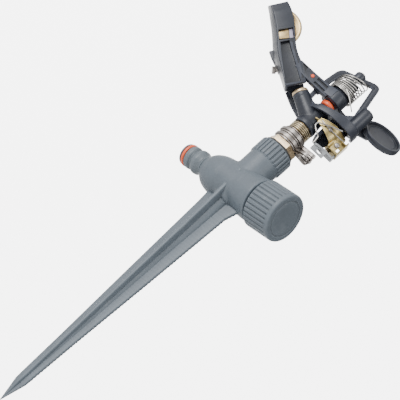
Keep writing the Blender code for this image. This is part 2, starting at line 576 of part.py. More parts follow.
def trip_finger():
    """Grey tongue that hangs from the lever to the height of the collars' tabs."""
    frame = trip_frame()
    body = lofted([[(-6.6, -2.4, 58.6), (-6.6, 3.6, 58.6), (-6.6, 3.6, 60.2), (-6.6, -2.4, 60.2)],
                   [(2.6, -2.0, 58.6), (2.6, 4.6, 58.6), (2.6, 4.6, 60.2), (2.6, -2.0, 60.2)],
                   [(7.0, 1.0, 57.6), (7.0, 5.4, 57.6), (7.0, 5.4, 59.2), (7.0, 1.0, 59.2)]], frame)
    body = union(body, block(-6.6, -5.4, -2.2, 3.4, 58.8, 61.9, frame))
    return node(body, "trip_finger", GREY, 0.4, pivot=tuple(frame.translation))


def trip_wire():
    frame = trip_frame()
    path = [(1.0, 11.6, 75.0), (7.0, 11.5, 72.6), (14.0, 11.3, 69.0), (16.4, 11.4, 67.4), (16.0, 11.8, 64.6), (12.6, 12.0, 62.0), (9.4, 11.8, 60.0), (8.6, 11.0, 54.8)]
    return node(swept(path, circle(0.55, 8), frame), "trip_wire", STEEL, 0.25, 1.0, pivot=tuple(frame.translation))


def trip_rivet():
    frame = aimed(trip_frame(), (1.4, 0, 70.4), (0, 1, 0))
    return node(turned([(0, 5.0), (1.0, 5.0), (1.0, 10.7), (1.9, 10.7), (1.6, 11.5), (0, 11.8)], frame, seg=16), "trip_rivet", STEEL, 0.25, 1.0, pivot=tuple(trip_frame().translation))


def diffuser_screw():
    frame = screw_frame()
    body = union(turned([(0, -8.5), (0.8, -8.5), (1.5, -7.4), (1.5, 5.0), (0, 5.0)], frame, seg=16),
                 prism([(2.6 * math.cos(math.pi / 3 * k), 2.6 * math.sin(math.pi / 3 * k)) for k in range(6)], 5.0, 7.6, frame))
    return node(body, "diffuser_screw", STEEL, 0.25, 1.0, pivot=tuple(frame.translation))


# ---------------------------------------------------------------- assembly
spike_body()
hose_connector()
ring_seal("connector_oring", -46.3, 7.2, 0.85, ORANGE, 0.35)
node(turned([(4.5, -18.6), (6.1, -18.6), (6.1, -17.2), (4.5, -17.2)], along_x(), 32, ring=True), "connector_seal", RUBBER, 0.7)
end_cap()
node(turned([(8.6, 41.15), (12.1, 41.15), (12.1, 42.8), (8.6, 42.8)], along_x(), 32, ring=True), "cap_seal", RUBBER, 0.7, pivot=(CAP_IN, 0, 0))
bearing_sleeve()
node(turned([(9.4, 37.4), (11.4, 37.4), (11.4, 38.55), (9.4, 38.55)], None, 36, ring=True), "sleeve_seal", RUBBER, 0.7)
bearing_tube()
node(turned([(TUBE_R + 0.3, 53.9), (8.6, 53.9), (8.6, 54.4), (TUBE_R + 0.3, 54.4)], None, 32, ring=True), "spring_washer", STEEL, 0.3, 1.0)
coil("bearing_spring", 7.4, 0.5, 55.25, 61.15, 4.0, per=18, sides=6)
trip_collar("trip_collar_lower", 44.0, 48.2, math.radians(16), 18.0)
trip_collar("trip_collar_upper", 48.9, 53.1, math.radians(34), 19.5)
head_housing()
nozzle()
fulcrum_pin()
arm_washer()
drive_arm()
deflector_disc()
arm_plug()
coil("arm_spring", COIL_R, 0.42, 98.0, COIL_TOP, 9.0, per=18, sides=5, frame=HEAD, grow=1.25, lean=0.38)
trip_pin()
trip_lever()
trip_finger()
trip_wire()
trip_rivet()
diffuser_screw()
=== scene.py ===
import math

import bmesh
import bpy
import numpy as np
from mathutils import Matrix, Vector


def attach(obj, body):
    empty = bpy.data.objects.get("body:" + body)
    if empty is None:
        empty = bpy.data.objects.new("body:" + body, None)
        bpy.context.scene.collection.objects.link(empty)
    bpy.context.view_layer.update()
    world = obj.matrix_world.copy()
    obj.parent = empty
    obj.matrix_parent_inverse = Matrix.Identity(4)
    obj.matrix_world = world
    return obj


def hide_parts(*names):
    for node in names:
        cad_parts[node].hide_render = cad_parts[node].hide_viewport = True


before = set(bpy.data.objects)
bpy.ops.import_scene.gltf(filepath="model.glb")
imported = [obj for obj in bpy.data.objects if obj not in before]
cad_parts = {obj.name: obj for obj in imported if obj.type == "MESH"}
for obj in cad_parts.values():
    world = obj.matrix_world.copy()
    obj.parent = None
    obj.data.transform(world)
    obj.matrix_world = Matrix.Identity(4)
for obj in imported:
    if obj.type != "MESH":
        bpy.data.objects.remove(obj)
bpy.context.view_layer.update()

SOIL = 24.0                      # soil line to the cross pipe's axis, mm; heights below count from that axis
HEAD_YAW = math.radians(207.4)
HEAD = Matrix.Rotation(HEAD_YAW, 4, "Z")
TILT = math.radians(26.0)
SPOON_F, SPOON_Z, SPOON_TILT = 28.9, 77.1, math.radians(30.5)
BOSS_F = -22.0

# ------------------------------------------------------------------ frames
def world_frame():
    return Matrix.Identity(4)


def along_x(x=0.0):
    return Matrix.Translation((x, 0, 0)) @ Matrix.Rotation(math.pi / 2, 4, "Y")


def head(f=0.0, l=0.0, z=0.0):
    return HEAD @ Matrix.Translation((f, l, z))


def aimed(base, origin, direction, up=(0, 0, 1)):
    w = Vector(direction).normalized()
    u = Vector(up).cross(w)
    if u.length < 1e-6:
        u = Vector((1, 0, 0))
    u.normalize()
    v = w.cross(u)
    rot = Matrix((u, v, w)).transposed().to_4x4()
    return base @ Matrix.Translation(origin) @ rot


# ------------------------------------------------------------------ mesh tools
def raw(points, faces, frame_=None, flip=True):
    mesh = bpy.data.meshes.new("shape")
    mesh.from_pydata([tuple(p) for p in points], [], [tuple(f) for f in faces])
    mesh.transform(frame_ or world_frame())
    bm = bmesh.new()
    bm.from_mesh(mesh)
    bmesh.ops.recalc_face_normals(bm, faces=bm.faces)
    bm.to_mesh(mesh)
    bm.free()
    obj = bpy.data.objects.new("shape", mesh)
    bpy.context.scene.collection.objects.link(obj)
    return obj


def smooth_profile(points, step=0.35):
    """A polyline with its corners cut twice, so that a turned edge reads as rounded."""
    pts = [Vector(p) for p in points]
    out = [pts[0]]
    for a, b, c in zip(pts, pts[1:], pts[2:]):
        d0 = min(step, (b - a).length * 0.4)
        d1 = min(step, (c - b).length * 0.4)
        p = b + (a - b).normalized() * d0 if (a - b).length > 1e-9 else b
        q = b + (c - b).normalized() * d1 if (c - b).length > 1e-9 else b
        out += [p, (p + b * 2 + q) / 4, q]
    out.append(pts[-1])
    return [tuple(p) for p in out]


def turned(profile, frame_=None, seg=96, ring=False, radius=None):
    points, rows = [], []
    for r, h in profile:
        if r < 1e-6:
            rows.append([len(points)])
            points.append((0, 0, h))
        else:
            rows.append(list(range(len(points), len(points) + seg)))
            for k in range(seg):
                a = 2 * math.pi * k / seg
                rr = radius(r, h, a) if radius else r
                points.append((rr * math.cos(a), rr * math.sin(a), h))
    faces = []
    pairs = list(zip(rows, rows[1:]))
    if ring:
        pairs.append((rows[-1], rows[0]))
    for a, b in pairs:
        for k in range(seg):
            j = (k + 1) % seg
            if len(a) == 1 and len(b) == 1:
                continue
            if len(a) == 1:
                faces.append((a[0], b[k], b[j]))
            elif len(b) == 1:
                faces.append((a[k], a[j], b[0]))
            else:
                faces.append((a[k], a[j], b[j], b[k]))
    if not ring:
        for row in (rows[0], rows[-1]):
            if len(row) > 1:
                faces.append(tuple(row))
    return raw(points, faces, frame_)


def rod(r, h0, h1, frame_=None, seg=48, edge=0.25):
    e = min(edge, r * 0.4, abs(h1 - h0) * 0.4)
    return turned([(0, h0), (r - e, h0), (r - e * 0.3, h0 + e * 0.3), (r, h0 + e), (r, h1 - e), (r - e * 0.3, h1 - e * 0.3), (r - e, h1), (0, h1)], frame_, seg)


def rrect(w, h, r, n=4):
    """Rounded rectangle w by h."""
    out = []
    r = min(r, w * 0.49, h * 0.49)
    for cx, cy, a0 in ((w / 2 - r, h / 2 - r, 0), (-w / 2 + r, h / 2 - r, 90), (-w / 2 + r, -h / 2 + r, 180), (w / 2 - r, -h / 2 + r, 270)):
        for k in range(n + 1):
            a = math.radians(a0 + 90 * k / n)
            out.append((cx + r * math.cos(a), cy + r * math.sin(a)))
    return out


def circle(r, seg=12):
    return [(r * math.cos(2 * math.pi * k / seg), r * math.sin(2 * math.pi * k / seg)) for k in range(seg)]


def lofted(sections, frame_=None, caps=True):
    n = len(sections[0])
    points = [p for s in sections for p in s]
    faces = [tuple(range(n)), tuple(range(len(points) - n, len(points)))] if caps else []
    for s in range(len(sections) - 1):
        faces += [(s * n + k, s * n + (k + 1) % n, (s + 1) * n + (k + 1) % n, (s + 1) * n + k) for k in range(n)]
    return raw(points, faces, frame_)


def quad_section(corners, r, n=3):
    """A four-cornered section in space with its corners rounded."""
    c = [Vector(p) for p in corners]
    out = []
    for i in range(4):
        a, b, d = c[i - 1], c[i], c[(i + 1) % 4]
        ra = min(r, (a - b).length * 0.45)
        rd = min(r, (d - b).length * 0.45)
        p = b + (a - b).normalized() * ra
        q = b + (d - b).normalized() * rd
        for k in range(n + 1):
            t = k / n
            out.append(tuple(p * (1 - t) ** 2 + b * 2 * t * (1 - t) + q * t ** 2))
    return out


def resample(path, step, corner=0.0):
    """A smooth curve through the path's points (Catmull-Rom)."""
    p = [Vector(q) for q in path]
    p = [p[0] * 2 - p[1]] + p + [p[-1] * 2 - p[-2]]
    out = []
    for i in range(1, len(p) - 2):
        n = max(2, int((p[i + 1] - p[i]).length / step))
        for k in range(n):
            t = k / n
            a, b, c, d = p[i - 1], p[i], p[i + 1], p[i + 2]
            out.append(0.5 * ((2 * b) + (c - a) * t + (2 * a - 5 * b + 4 * c - d) * t * t + (3 * b - a - 3 * c + d) * t ** 3))
    out.append(p[-2])
    return [tuple(q) for q in out]


def cornered(path, r, n=5):
    """A polyline whose corners are turned into arcs."""
    p = [Vector(q) for q in path]
    out = [p[0]]
    for a, b, c in zip(p, p[1:], p[2:]):
        d0 = min(r, (b - a).length * 0.45)
        d1 = min(r, (c - b).length * 0.45)
        s = b + (a - b).normalized() * d0
        e = b + (c - b).normalized() * d1
        for k in range(n + 1):
            t = k / n
            out.append(s * (1 - t) ** 2 + b * 2 * t * (1 - t) + e * t ** 2)
    out.append(p[-1])
    return [tuple(q) for q in out]


def swept(path, section, frame_=None, up=(0, 0, 1), scale=None, rounded=0.0, fixed=False):
    path = [Vector(p) for p in path]
    n = len(path)
    sections, ref = [], Vector(up)
    for i, p in enumerate(path):
        t = path[min(i + 1, n - 1)] - path[max(i - 1, 0)]
        t.normalize()
        base = Vector(up) if fixed else ref
        u = base - t * base.dot(t)
        if u.length < 1e-4:
            u = t.orthogonal()
        u.normalize()
        ref = u
        v = t.cross(u)
        k = scale(i / (n - 1)) if scale else 1.0
        sections.append([tuple(p + v * (x * k) + u * (y * k)) for x, y in section])
    if rounded:
        def shrunk(sec, centre, k, shift):
            return [tuple(Vector(centre) + (Vector(q) - Vector(centre)) * k + shift) for q in sec]
        t0 = (path[0] - path[1]).normalized()
        t1 = (path[-1] - path[-2]).normalized()
        sections = [shrunk(sections[0], path[0], 0.35, t0 * rounded), shrunk(sections[0], path[0], 0.8, t0 * rounded * 0.65)] + sections + \
                   [shrunk(sections[-1], path[-1], 0.8, t1 * rounded * 0.65), shrunk(sections[-1], path[-1], 0.35, t1 * rounded)]
    return lofted(sections, frame_)


def box(x0, x1, y0, y1, z0, z1, frame_=None, r=0.4):
    """A block with rounded edges."""
    bm = bmesh.new()
    bmesh.ops.create_cube(bm, size=1.0)
    for v in bm.verts:
        v.co = Vector(((x0 + x1) / 2 + v.co.x * (x1 - x0), (y0 + y1) / 2 + v.co.y * (y1 - y0), (z0 + z1) / 2 + v.co.z * (z1 - z0)))
    if r:
        bmesh.ops.bevel(bm, geom=bm.edges[:], offset=min(r, 0.45 * min(x1 - x0, y1 - y0, z1 - z0)), segments=3, profile=0.6, affect="EDGES")
    mesh = bpy.data.meshes.new("shape")
    bm.to_mesh(mesh)
    bm.free()
    mesh.transform(frame_ or world_frame())
    obj = bpy.data.objects.new("shape", mesh)
    bpy.context.scene.collection.objects.link(obj)
    return obj


def prism(outline, h0, h1, frame_=None, r=0.3, seg=3):
    n = len(outline)
    bm = bmesh.new()
    low = [bm.verts.new((x, y, h0)) for x, y in outline]
    high = [bm.verts.new((x, y, h1)) for x, y in outline]
    bm.faces.new(low)
    bm.faces.new(high)
    for k in range(n):
        bm.faces.new((low[k], low[(k + 1) % n], high[(k + 1) % n], high[k]))
    bmesh.ops.recalc_face_normals(bm, faces=bm.faces)
    if r:
        rim = [e for e in bm.edges if len({round(v.co.z, 5) for v in e.verts}) == 1]
        bmesh.ops.bevel(bm, geom=rim, offset=r, segments=seg, profile=0.6, affect="EDGES")
    mesh = bpy.data.meshes.new("shape")
    bm.to_mesh(mesh)
    bm.free()
    mesh.transform(frame_ or world_frame())
    obj = bpy.data.objects.new("shape", mesh)
    bpy.context.scene.collection.objects.link(obj)
    return obj


def evaluated(obj):
    bpy.context.view_layer.update()
    graph = bpy.context.evaluated_depsgraph_get()
    mesh = bpy.data.meshes.new_from_object(obj.evaluated_get(graph))
    obj.modifiers.clear()
    obj.data = mesh
    return obj


def boolean(a, b, operation):
    mod = a.modifiers.new("bool", "BOOLEAN")
    mod.operation = operation
    mod.solver = "EXACT"
    mod.object = b
    evaluated(a)
    bpy.data.objects.remove(b, do_unlink=True)
    return a


def cut(a, *rest):
    for b in rest:
        boolean(a, b, "DIFFERENCE")
    return a


def union(a, *rest):
    for b in rest:
        boolean(a, b, "UNION")
    return a


def joined(*objs):
    """Several shapes gathered into one mesh."""
    bm = bmesh.new()
    for o in objs:
        bm.from_mesh(o.data)
    mesh = bpy.data.meshes.new("shape")
    bm.to_mesh(mesh)
    bm.free()
    first = objs[0]
    first.data = mesh
    for o in objs[1:]:
        bpy.data.objects.remove(o, do_unlink=True)
    return first


def melted(obj, voxel=0.5, rounds=6):
    """The shape remeshed and relaxed, so that its joins run into soft fillets."""
    mod = obj.modifiers.new("remesh", "REMESH")
    mod.mode = "VOXEL"
    mod.voxel_size = voxel
    evaluated(obj)
    bm = bmesh.new()
    bm.from_mesh(obj.data)
    for _ in range(rounds):
        bmesh.ops.smooth_vert(bm, verts=bm.verts, factor=0.5, use_axis_x=True, use_axis_y=True, use_axis_z=True)
    bm.to_mesh(obj.data)
    bm.free()
    return obj


# ------------------------------------------------------------------ materials
def nodes_of(name):
    mat = bpy.data.materials.new(name)
    mat.use_nodes = True
    nt = mat.node_tree
    return mat, nt, nt.nodes["Principled BSDF"]


def noise(nt, coord, scale, detail=4.0, rough=0.55, stretch=None):
    src = coord
    if stretch:
        mp = nt.nodes.new("ShaderNodeMapping")
        mp.inputs["Scale"].default_value = stretch
        nt.links.new(coord, mp.inputs["Vector"])
        src = mp.outputs["Vector"]
    n = nt.nodes.new("ShaderNodeTexNoise")
    n.inputs["Scale"].default_value = scale
    n.inputs["Detail"].default_value = detail
    n.inputs["Roughness"].default_value = rough
    nt.links.new(src, n.inputs["Vector"])
    return n.outputs["Fac"]


def ramp(nt, fac, stops):
    r = nt.nodes.new("ShaderNodeValToRGB")
    while len(r.color_ramp.elements) < len(stops):
        r.color_ramp.elements.new(0.5)
    for e, (pos, col) in zip(r.color_ramp.elements, stops):
        e.position = pos
        e.color = (*col, 1.0) if len(col) == 3 else col
    nt.links.new(fac, r.inputs["Fac"])
    return r.outputs["Color"]


def mix(nt, fac, a, b, mode="MIX"):
    m = nt.nodes.new("ShaderNodeMix")
    m.data_type = "RGBA"
    m.blend_type = mode
    if hasattr(fac, "links") or not isinstance(fac, (int, float)):
        nt.links.new(fac, m.inputs["Factor"])
    else:
        m.inputs["Factor"].default_value = fac
    for key, val in (("A", a), ("B", b)):
        sock = [s for s in m.inputs if s.name == key and s.type == "RGBA"][0]
        if isinstance(val, tuple):
            sock.default_value = (*val, 1.0)
        else:
            nt.links.new(val, sock)
    return [s for s in m.outputs if s.type == "RGBA"][0]


def bump(nt, shader, height, strength, distance, before=None):
    b = nt.nodes.new("ShaderNodeBump")
    b.inputs["Strength"].default_value = strength
    b.inputs["Distance"].default_value = distance
    nt.links.new(height, b.inputs["Height"])
    if before is not None:
        nt.links.new(before, b.inputs["Normal"])
    nt.links.new(b.outputs["Normal"], shader.inputs["Normal"])
    return b.outputs["Normal"]


def coords(nt):
    return nt.nodes.new("ShaderNodeTexCoord").outputs["Object"]


def pointiness(nt):
    return nt.nodes.new("ShaderNodeNewGeometry").outputs["Pointiness"]


def scaled(col, k):
    return tuple(min(1.0, c * k) for c in col)


def plastic(name, base, rough=0.42, edge=1.45, grain=0.10, dust=0.12, spec=0.5):
    """Moulded plastic: mottled colour, fine grain, edges painted paler as highlight and rubbed wear, hollows painted
    darker as shade, and a little dust.
    """
    mat, nt, sh = nodes_of(name)
    c = coords(nt)
    cloud = noise(nt, c, 55.0, 5.0)
    fine = noise(nt, c, 900.0, 3.0)
    scuffs = noise(nt, c, 260.0, 6.0, 0.7, stretch=(1.0, 1.0, 0.25))
    col = ramp(nt, cloud, [(0.25, scaled(base, 0.86)), (0.5, base), (0.78, scaled(base, 1.13))])
    speck = ramp(nt, fine, [(0.35, (0, 0, 0)), (0.75, (1, 1, 1))])
    col = mix(nt, 0.05, col, speck, "OVERLAY")
    # pointiness ramp: where it is low, in hollows and creases, the colour is painted darker as shade
    # (painted_hollow_shade, masked by lift)
    pt = ramp(nt, pointiness(nt), [(0.44, (0.0, 0.0, 0.0)), (0.5, (0.32, 0.32, 0.32)), (0.56, (1.0, 1.0, 1.0))])
    sep = nt.nodes.new("ShaderNodeSeparateColor")
    nt.links.new(pt, sep.inputs["Color"])
    painted_hollow_shade = scaled(base, 0.55)
    lift = nt.nodes.new("ShaderNodeMapRange")
    lift.inputs["From Min"].default_value = 0.0
    lift.inputs["From Max"].default_value = 0.32
    nt.links.new(sep.outputs["Red"], lift.inputs["Value"])
    col = mix(nt, lift.outputs["Result"], mix(nt, 0.0, col, col) if False else painted_hollow_shade, col)
    # where pointiness is high, on ridges and edges, the colour is painted paler by the factor edge: a painted
    # highlight, broken up by scuff noise as wear
    edge_highlight_range = nt.nodes.new("ShaderNodeMapRange")
    edge_highlight_range.inputs["From Min"].default_value = 0.36
    edge_highlight_range.inputs["From Max"].default_value = 1.0
    nt.links.new(sep.outputs["Red"], edge_highlight_range.inputs["Value"])
    edge_highlight_and_wear = nt.nodes.new("ShaderNodeMath")
    edge_highlight_and_wear.operation = "MULTIPLY"
    nt.links.new(edge_highlight_range.outputs["Result"], edge_highlight_and_wear.inputs[0])
    nt.links.new(scuffs, edge_highlight_and_wear.inputs[1])
    col = mix(nt, edge_highlight_and_wear.outputs["Value"], col, scaled(base, edge))
    d = ramp(nt, scuffs, [(0.55, (0, 0, 0)), (0.8, (1, 1, 1))])
    dm = nt.nodes.new("ShaderNodeSeparateColor")
    nt.links.new(d, dm.inputs["Color"])
    dd = nt.nodes.new("ShaderNodeMath")
    dd.operation = "MULTIPLY"
    dd.inputs[1].default_value = dust
    nt.links.new(dm.outputs["Red"], dd.inputs[0])
    col = mix(nt, dd.outputs["Value"], col, (0.45, 0.45, 0.43))
    nt.links.new(col, sh.inputs["Base Color"])
    rr = nt.nodes.new("ShaderNodeMapRange")
    rr.inputs["To Min"].default_value = rough - 0.09
    rr.inputs["To Max"].default_value = rough + 0.14
    nt.links.new(scuffs, rr.inputs["Value"])
    nt.links.new(rr.outputs["Result"], sh.inputs["Roughness"])
    sh.inputs["Specular IOR Level"].default_value = spec
    n1 = bump(nt, sh, fine, grain, 0.00012)
    bump(nt, sh, cloud, 0.06, 0.0006, before=n1)
    return mat


def metal(name, base, dull, rough=0.28, patina=None, amount=0.35, brush=None, metallic=1.0, grain=0.06):
    """Worn metal: bright and dull patches, tarnish spots, fine scratches and hollows painted darker as shade."""
    mat, nt, sh = nodes_of(name)
    c = coords(nt)
    cloud = noise(nt, c, 130.0, 6.0, 0.62)
    fine = noise(nt, c, 1500.0, 3.0, 0.6, stretch=brush)
    col = ramp(nt, cloud, [(0.3, dull), (0.52, base), (0.75, scaled(base, 1.18))])
    if patina:
        spots = noise(nt, c, 420.0, 5.0, 0.6)
        pr = ramp(nt, spots, [(0.5, (0, 0, 0)), (0.72, (1, 1, 1))])
        ps = nt.nodes.new("ShaderNodeSeparateColor")
        nt.links.new(pr, ps.inputs["Color"])
        pm = nt.nodes.new("ShaderNodeMath")
        pm.operation = "MULTIPLY"
        pm.inputs[1].default_value = amount
        nt.links.new(ps.outputs["Red"], pm.inputs[0])
        col = mix(nt, pm.outputs["Value"], col, patina)
    # pointiness ramp: hollows and creases are painted darker as shade, toward half the dull colour
    pt = ramp(nt, pointiness(nt), [(0.45, (0.0, 0.0, 0.0)), (0.52, (1.0, 1.0, 1.0))])
    sep = nt.nodes.new("ShaderNodeSeparateColor")
    nt.links.new(pt, sep.inputs["Color"])
    col = mix(nt, sep.outputs["Red"], scaled(dull, 0.5), col)
    nt.links.new(col, sh.inputs["Base Color"])
    rr = nt.nodes.new("ShaderNodeMapRange")
    rr.inputs["To Min"].default_value = max(0.05, rough - 0.1)
    rr.inputs["To Max"].default_value = rough + 0.2
    nt.links.new(cloud, rr.inputs["Value"])
    nt.links.new(rr.outputs["Result"], sh.inputs["Roughness"])
    sh.inputs["Metallic"].default_value = metallic
    bump(nt, sh, fine, grain, 0.0001)
    return mat


# edge: how much paler each plastic's edges are painted, as highlight and wear
GREY = plastic("grey_moulding", (0.098, 0.118, 0.138), rough=0.44, edge=1.5, spec=0.4)
GREY_LIGHT = plastic("grey_nipple", (0.105, 0.125, 0.142), rough=0.38, spec=0.45)
CHARCOAL = plastic("charcoal_moulding", (0.0155, 0.018, 0.0255), rough=0.36, edge=3.2, dust=0.03, spec=0.42)
# pale lilac painted in for the light seen through the arm's window, not the colour of a part
LILAC_PAINTED_LIGHT = plastic("lilac_painted_light", (0.30, 0.27, 0.36), rough=0.4, dust=0.05)
ORANGE = plastic("orange_rubber", (0.70, 0.10, 0.03), rough=0.34, edge=1.3, dust=0.02)
RUBBER = plastic("black_rubber", (0.02, 0.02, 0.02), rough=0.65)
BRASS = metal("turned_brass", (0.58, 0.43, 0.22), (0.36, 0.25, 0.12), rough=0.32, patina=(0.2, 0.13, 0.06), amount=0.4)
BRASS_PALE = metal("pale_brass", (0.66, 0.52, 0.34), (0.42, 0.31, 0.18), rough=0.34, patina=(0.25, 0.17, 0.09), amount=0.3)
OLIVE = metal("stamped_brass", (0.48, 0.38, 0.17), (0.20, 0.155, 0.065), rough=0.3, patina=(0.12, 0.09, 0.04), amount=0.5)
STEEL = metal("stamped_steel", (0.36, 0.335, 0.315), (0.15, 0.135, 0.125), rough=0.3, patina=(0.14, 0.1, 0.08), amount=0.45)
WIRE = metal("spring_wire", (0.50, 0.485, 0.46), (0.22, 0.21, 0.195), rough=0.2, patina=(0.2, 0.17, 0.14), amount=0.25)
WIRE_BRASS = metal("bearing_wire", (0.50, 0.43, 0.30), (0.21, 0.18, 0.12), rough=0.25, patina=(0.16, 0.13, 0.09), amount=0.35)
FINGER = plastic("pale_tongue", (0.22, 0.23, 0.24), rough=0.36, dust=0.05)

MM = 0.001


def piece(obj, name, mat, body, nodes, sharp=40, bevel=0.0, bevel_angle=38, seg=2):
    """Names a finished shape, puts it in world metres, ties it to its CAD body and hides the CAD nodes it replaces."""
    obj.name = name
    obj.data.name = name
    obj.data.transform(Matrix.Scale(MM, 4) @ Matrix.Translation((0, 0, SOIL)))
    obj.data.update()
    bm = bmesh.new()
    bm.from_mesh(obj.data)
    bmesh.ops.remove_doubles(bm, verts=bm.verts, dist=2e-7)
    bm.to_mesh(obj.data)
    bm.free()
    obj.data.materials.clear()
    obj.data.materials.append(mat)
    obj.data.shade_smooth()
    obj.data.set_sharp_from_angle(angle=math.radians(sharp))
    if bevel:
        b = obj.modifiers.new("bevel", "BEVEL")
        b.width = bevel * MM
        b.segments = seg
        b.limit_method = "ANGLE"
        b.angle_limit = math.radians(bevel_angle)
        b.harden_normals = True
        b.use_clamp_overlap = True
    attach(obj, body)
    if nodes:
        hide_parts(*nodes)
    return obj


# ------------------------------------------------------------------ spike body
def groove(r, h, a, count, depth, h0, h1, base, duty=0.36, phase=0.0):
    """Radius of a turned grip with axial grooves between h0 and h1."""
    if r < base - 1.2:
        return r
    u = (a * count / (2 * math.pi) + phase) % 1.0
    d = abs(u - 0.5)
    g = max(0.0, min(1.0, (duty / 2 - d) / 0.07 + 0.5))
    g = g * g * (3 - 2 * g)
    e = max(0.0, min(1.0, min((h - h0) / 0.5, (h1 - h) / 0.7)))
    return r - depth * g * e


def fin(right, left, angle, tip, thick=2.5, taper=True, teeth=0.0, crest=0.35):
    """A full-width fin with rounded crests; sections run down the spike."""
    def edge(table, z):
        for (x0, z0), (x1, z1) in zip(table, table[1:]):
            if z0 >= z >= z1:
                t = (z0 - z) / (z0 - z1) if z0 != z1 else 0
                return x0 + (x1 - x0) * t
        return table[-1][0] if z < table[-1][1] else table[0][0]
    zs = sorted({z for _, z in right} | {z for _, z in left} | {tip} | {right[0][1] - 0.01} |
                set(np.linspace(right[0][1], tip, 150 if teeth else 60).tolist()), reverse=True)
    sections = []
    for i, z in enumerate(zs):
        a, b = edge(right, z), edge(left, z)
        k = 1.0 if z > -185 else max(0.16, 0.25 + 0.75 * (z - tip) / (-185 - tip))
        if teeth and -185 < z < -16:
            a += teeth * (0.5 if i % 2 else -0.5)
        t = thick * k
        r = min(crest, t * 0.45)
        sec = []
        for cx, sx in ((a, 1), (-b, -1)):
            pts = [(cx - sx * 1.0 if abs(cx) > 1.3 else cx * 0.4, sx * t / 2 * 1.10), (cx - sx * r, sx * t / 2 * 0.94), (cx - sx * r * 0.3, sx * t / 2 * 0.72), (cx, sx * t * 0.2),
                   (cx, -sx * t * 0.2), (cx - sx * r * 0.3, -sx * t / 2 * 0.72), (cx - sx * r, -sx * t / 2 * 0.94), (cx - sx * 1.0 if abs(cx) > 1.3 else cx * 0.4, -sx * t / 2 * 1.10)]
            sec += pts
        sections.append([(x, y, z) for x, y in sec])
    return lofted(sections, Matrix.Rotation(angle, 4, "Z"))


X_PLUS = [(12.0, -8.0), (16.0, -13.5), (15.4, -16.5), (12.9, -24.0), (9.5, -92.0), (6.3, -150.0), (4.6, -190.0), (0.2, -207.0)]
X_MINUS = [(12.0, -8.0), (13.6, -14.5), (12.7, -24.0), (9.3, -92.0), (6.2, -150.0), (4.5, -190.0), (0.2, -207.0)]
Y_SIDE = [(13.6, 6.0), (12.6, -2.0), (10.6, -24.0), (7.5, -92.0), (5.0, -150.0), (3.0, -190.0), (0.2, -206.4)]

upright = turned(smooth_profile([(0, -16.0), (7.0, -15.0), (11.0, -9.0), (12.0, 0.0), (12.1, 12.0), (12.2, 26.0), (0, 26.0)], 1.0), seg=96)
cross = turned(smooth_profile([(0, -29.4), (7.9, -29.4), (8.9, -28.0), (10.3, -26.2), (11.9, -23.8), (13.1, -20.6), (13.95, -17.0),
                               (14.35, -12.0), (14.2, -4.0), (14.2, 4.0), (14.8, 10.0), (15.4, 16.0), (15.55, 20.9), (0, 20.9)], 0.6), along_x(), seg=96)
manifold = melted(joined(upright, cross), voxel=0.62, rounds=7)
manifold = cut(manifold, turned([(0, -31), (6.6, -31), (6.6, -10), (0, -10)], along_x(), 48))
core = turned(smooth_profile([(0, -8), (5.6, -12), (3.9, -60), (2.7, -150), (1.8, -188.3), (0, -197.0)], 1.0), seg=32)
fins = [fin(X_PLUS, X_MINUS, 0.0, -207.0, teeth=0.34), fin(Y_SIDE, Y_SIDE, math.pi / 2, -206.4)]
stub = turned([(11.6, 20.0), (12.3, 20.6), (12.3, 40.0), (11.6, 40.8), (9.1, 40.8), (9.1, 20.0)], along_x(), 72, ring=True)


def collar_radius(r, h, a):
    return groove(r, h, a, 26, 0.85, 24.2, 36.6, 12.95, duty=0.4)


collar = turned(smooth_profile([(9.4, 24.0), (12.3, 24.2), (12.6, 25.0), (12.95, 25.6)], 0.2)
                + [(12.95, h) for h in np.linspace(26.2, 35.6, 8)] +
                smooth_profile([(12.95, 36.0), (12.8, 36.6), (12.2, 37.0), (9.4, 37.0), (9.4, 24.0)], 0.15), seg=26 * 14, radius=collar_radius)
piece(joined(manifold, core, *fins, stub, collar), "spike_and_manifold", GREY, "root", ["spike_body"], sharp=50)

# ------------------------------------------------------------------ hose nipple
nipple = turned(smooth_profile([
    (4.4, -49.5), (6.9, -49.5), (7.5, -48.9), (7.5, -48.1), (6.2, -47.9), (6.2, -44.7), (7.9, -44.5), (8.0, -44.0), (8.0, -41.7), (7.5, -40.9),
    (6.75, -40.4), (6.75, -39.6), (7.5, -38.6), (8.35, -37.6), (8.85, -36.3), (8.75, -34.8), (7.5, -32.9), (6.9, -31.5), (7.4, -30.5), (7.6, -29.7), (6.2, -29.6), (6.2, -19.0), (4.4, -19.0), (4.4, -49.5)], 0.3),
    along_x(), seg=96, radius=lambda r, h, a: r * (1 - 0.03 * (1 - math.cos(6 * a + 0.6)) / 2) if -38.4 < h < -33.5 and r > 7.6 else r)
piece(nipple, "hose_nipple_moulding", GREY_LIGHT, "root", ["hose_connector"], sharp=45)
piece(turned([(7.2 + 0.85 * math.cos(2 * math.pi * k / 20), -46.3 + 1.05 * math.sin(2 * math.pi * k / 20)) for k in range(20)], along_x(), 96, ring=True),
      "nipple_oring", ORANGE, "root", ["connector_oring"], sharp=80)

# ------------------------------------------------------------------ end cap
CAP_R, CAP_IN, CAP_OUT = 17.0, 23.0, 44.7


def cap_radius(r, h, a):
    return groove(r, h, a, 32, 0.8, 0.3, 18.8, CAP_R, duty=0.34)


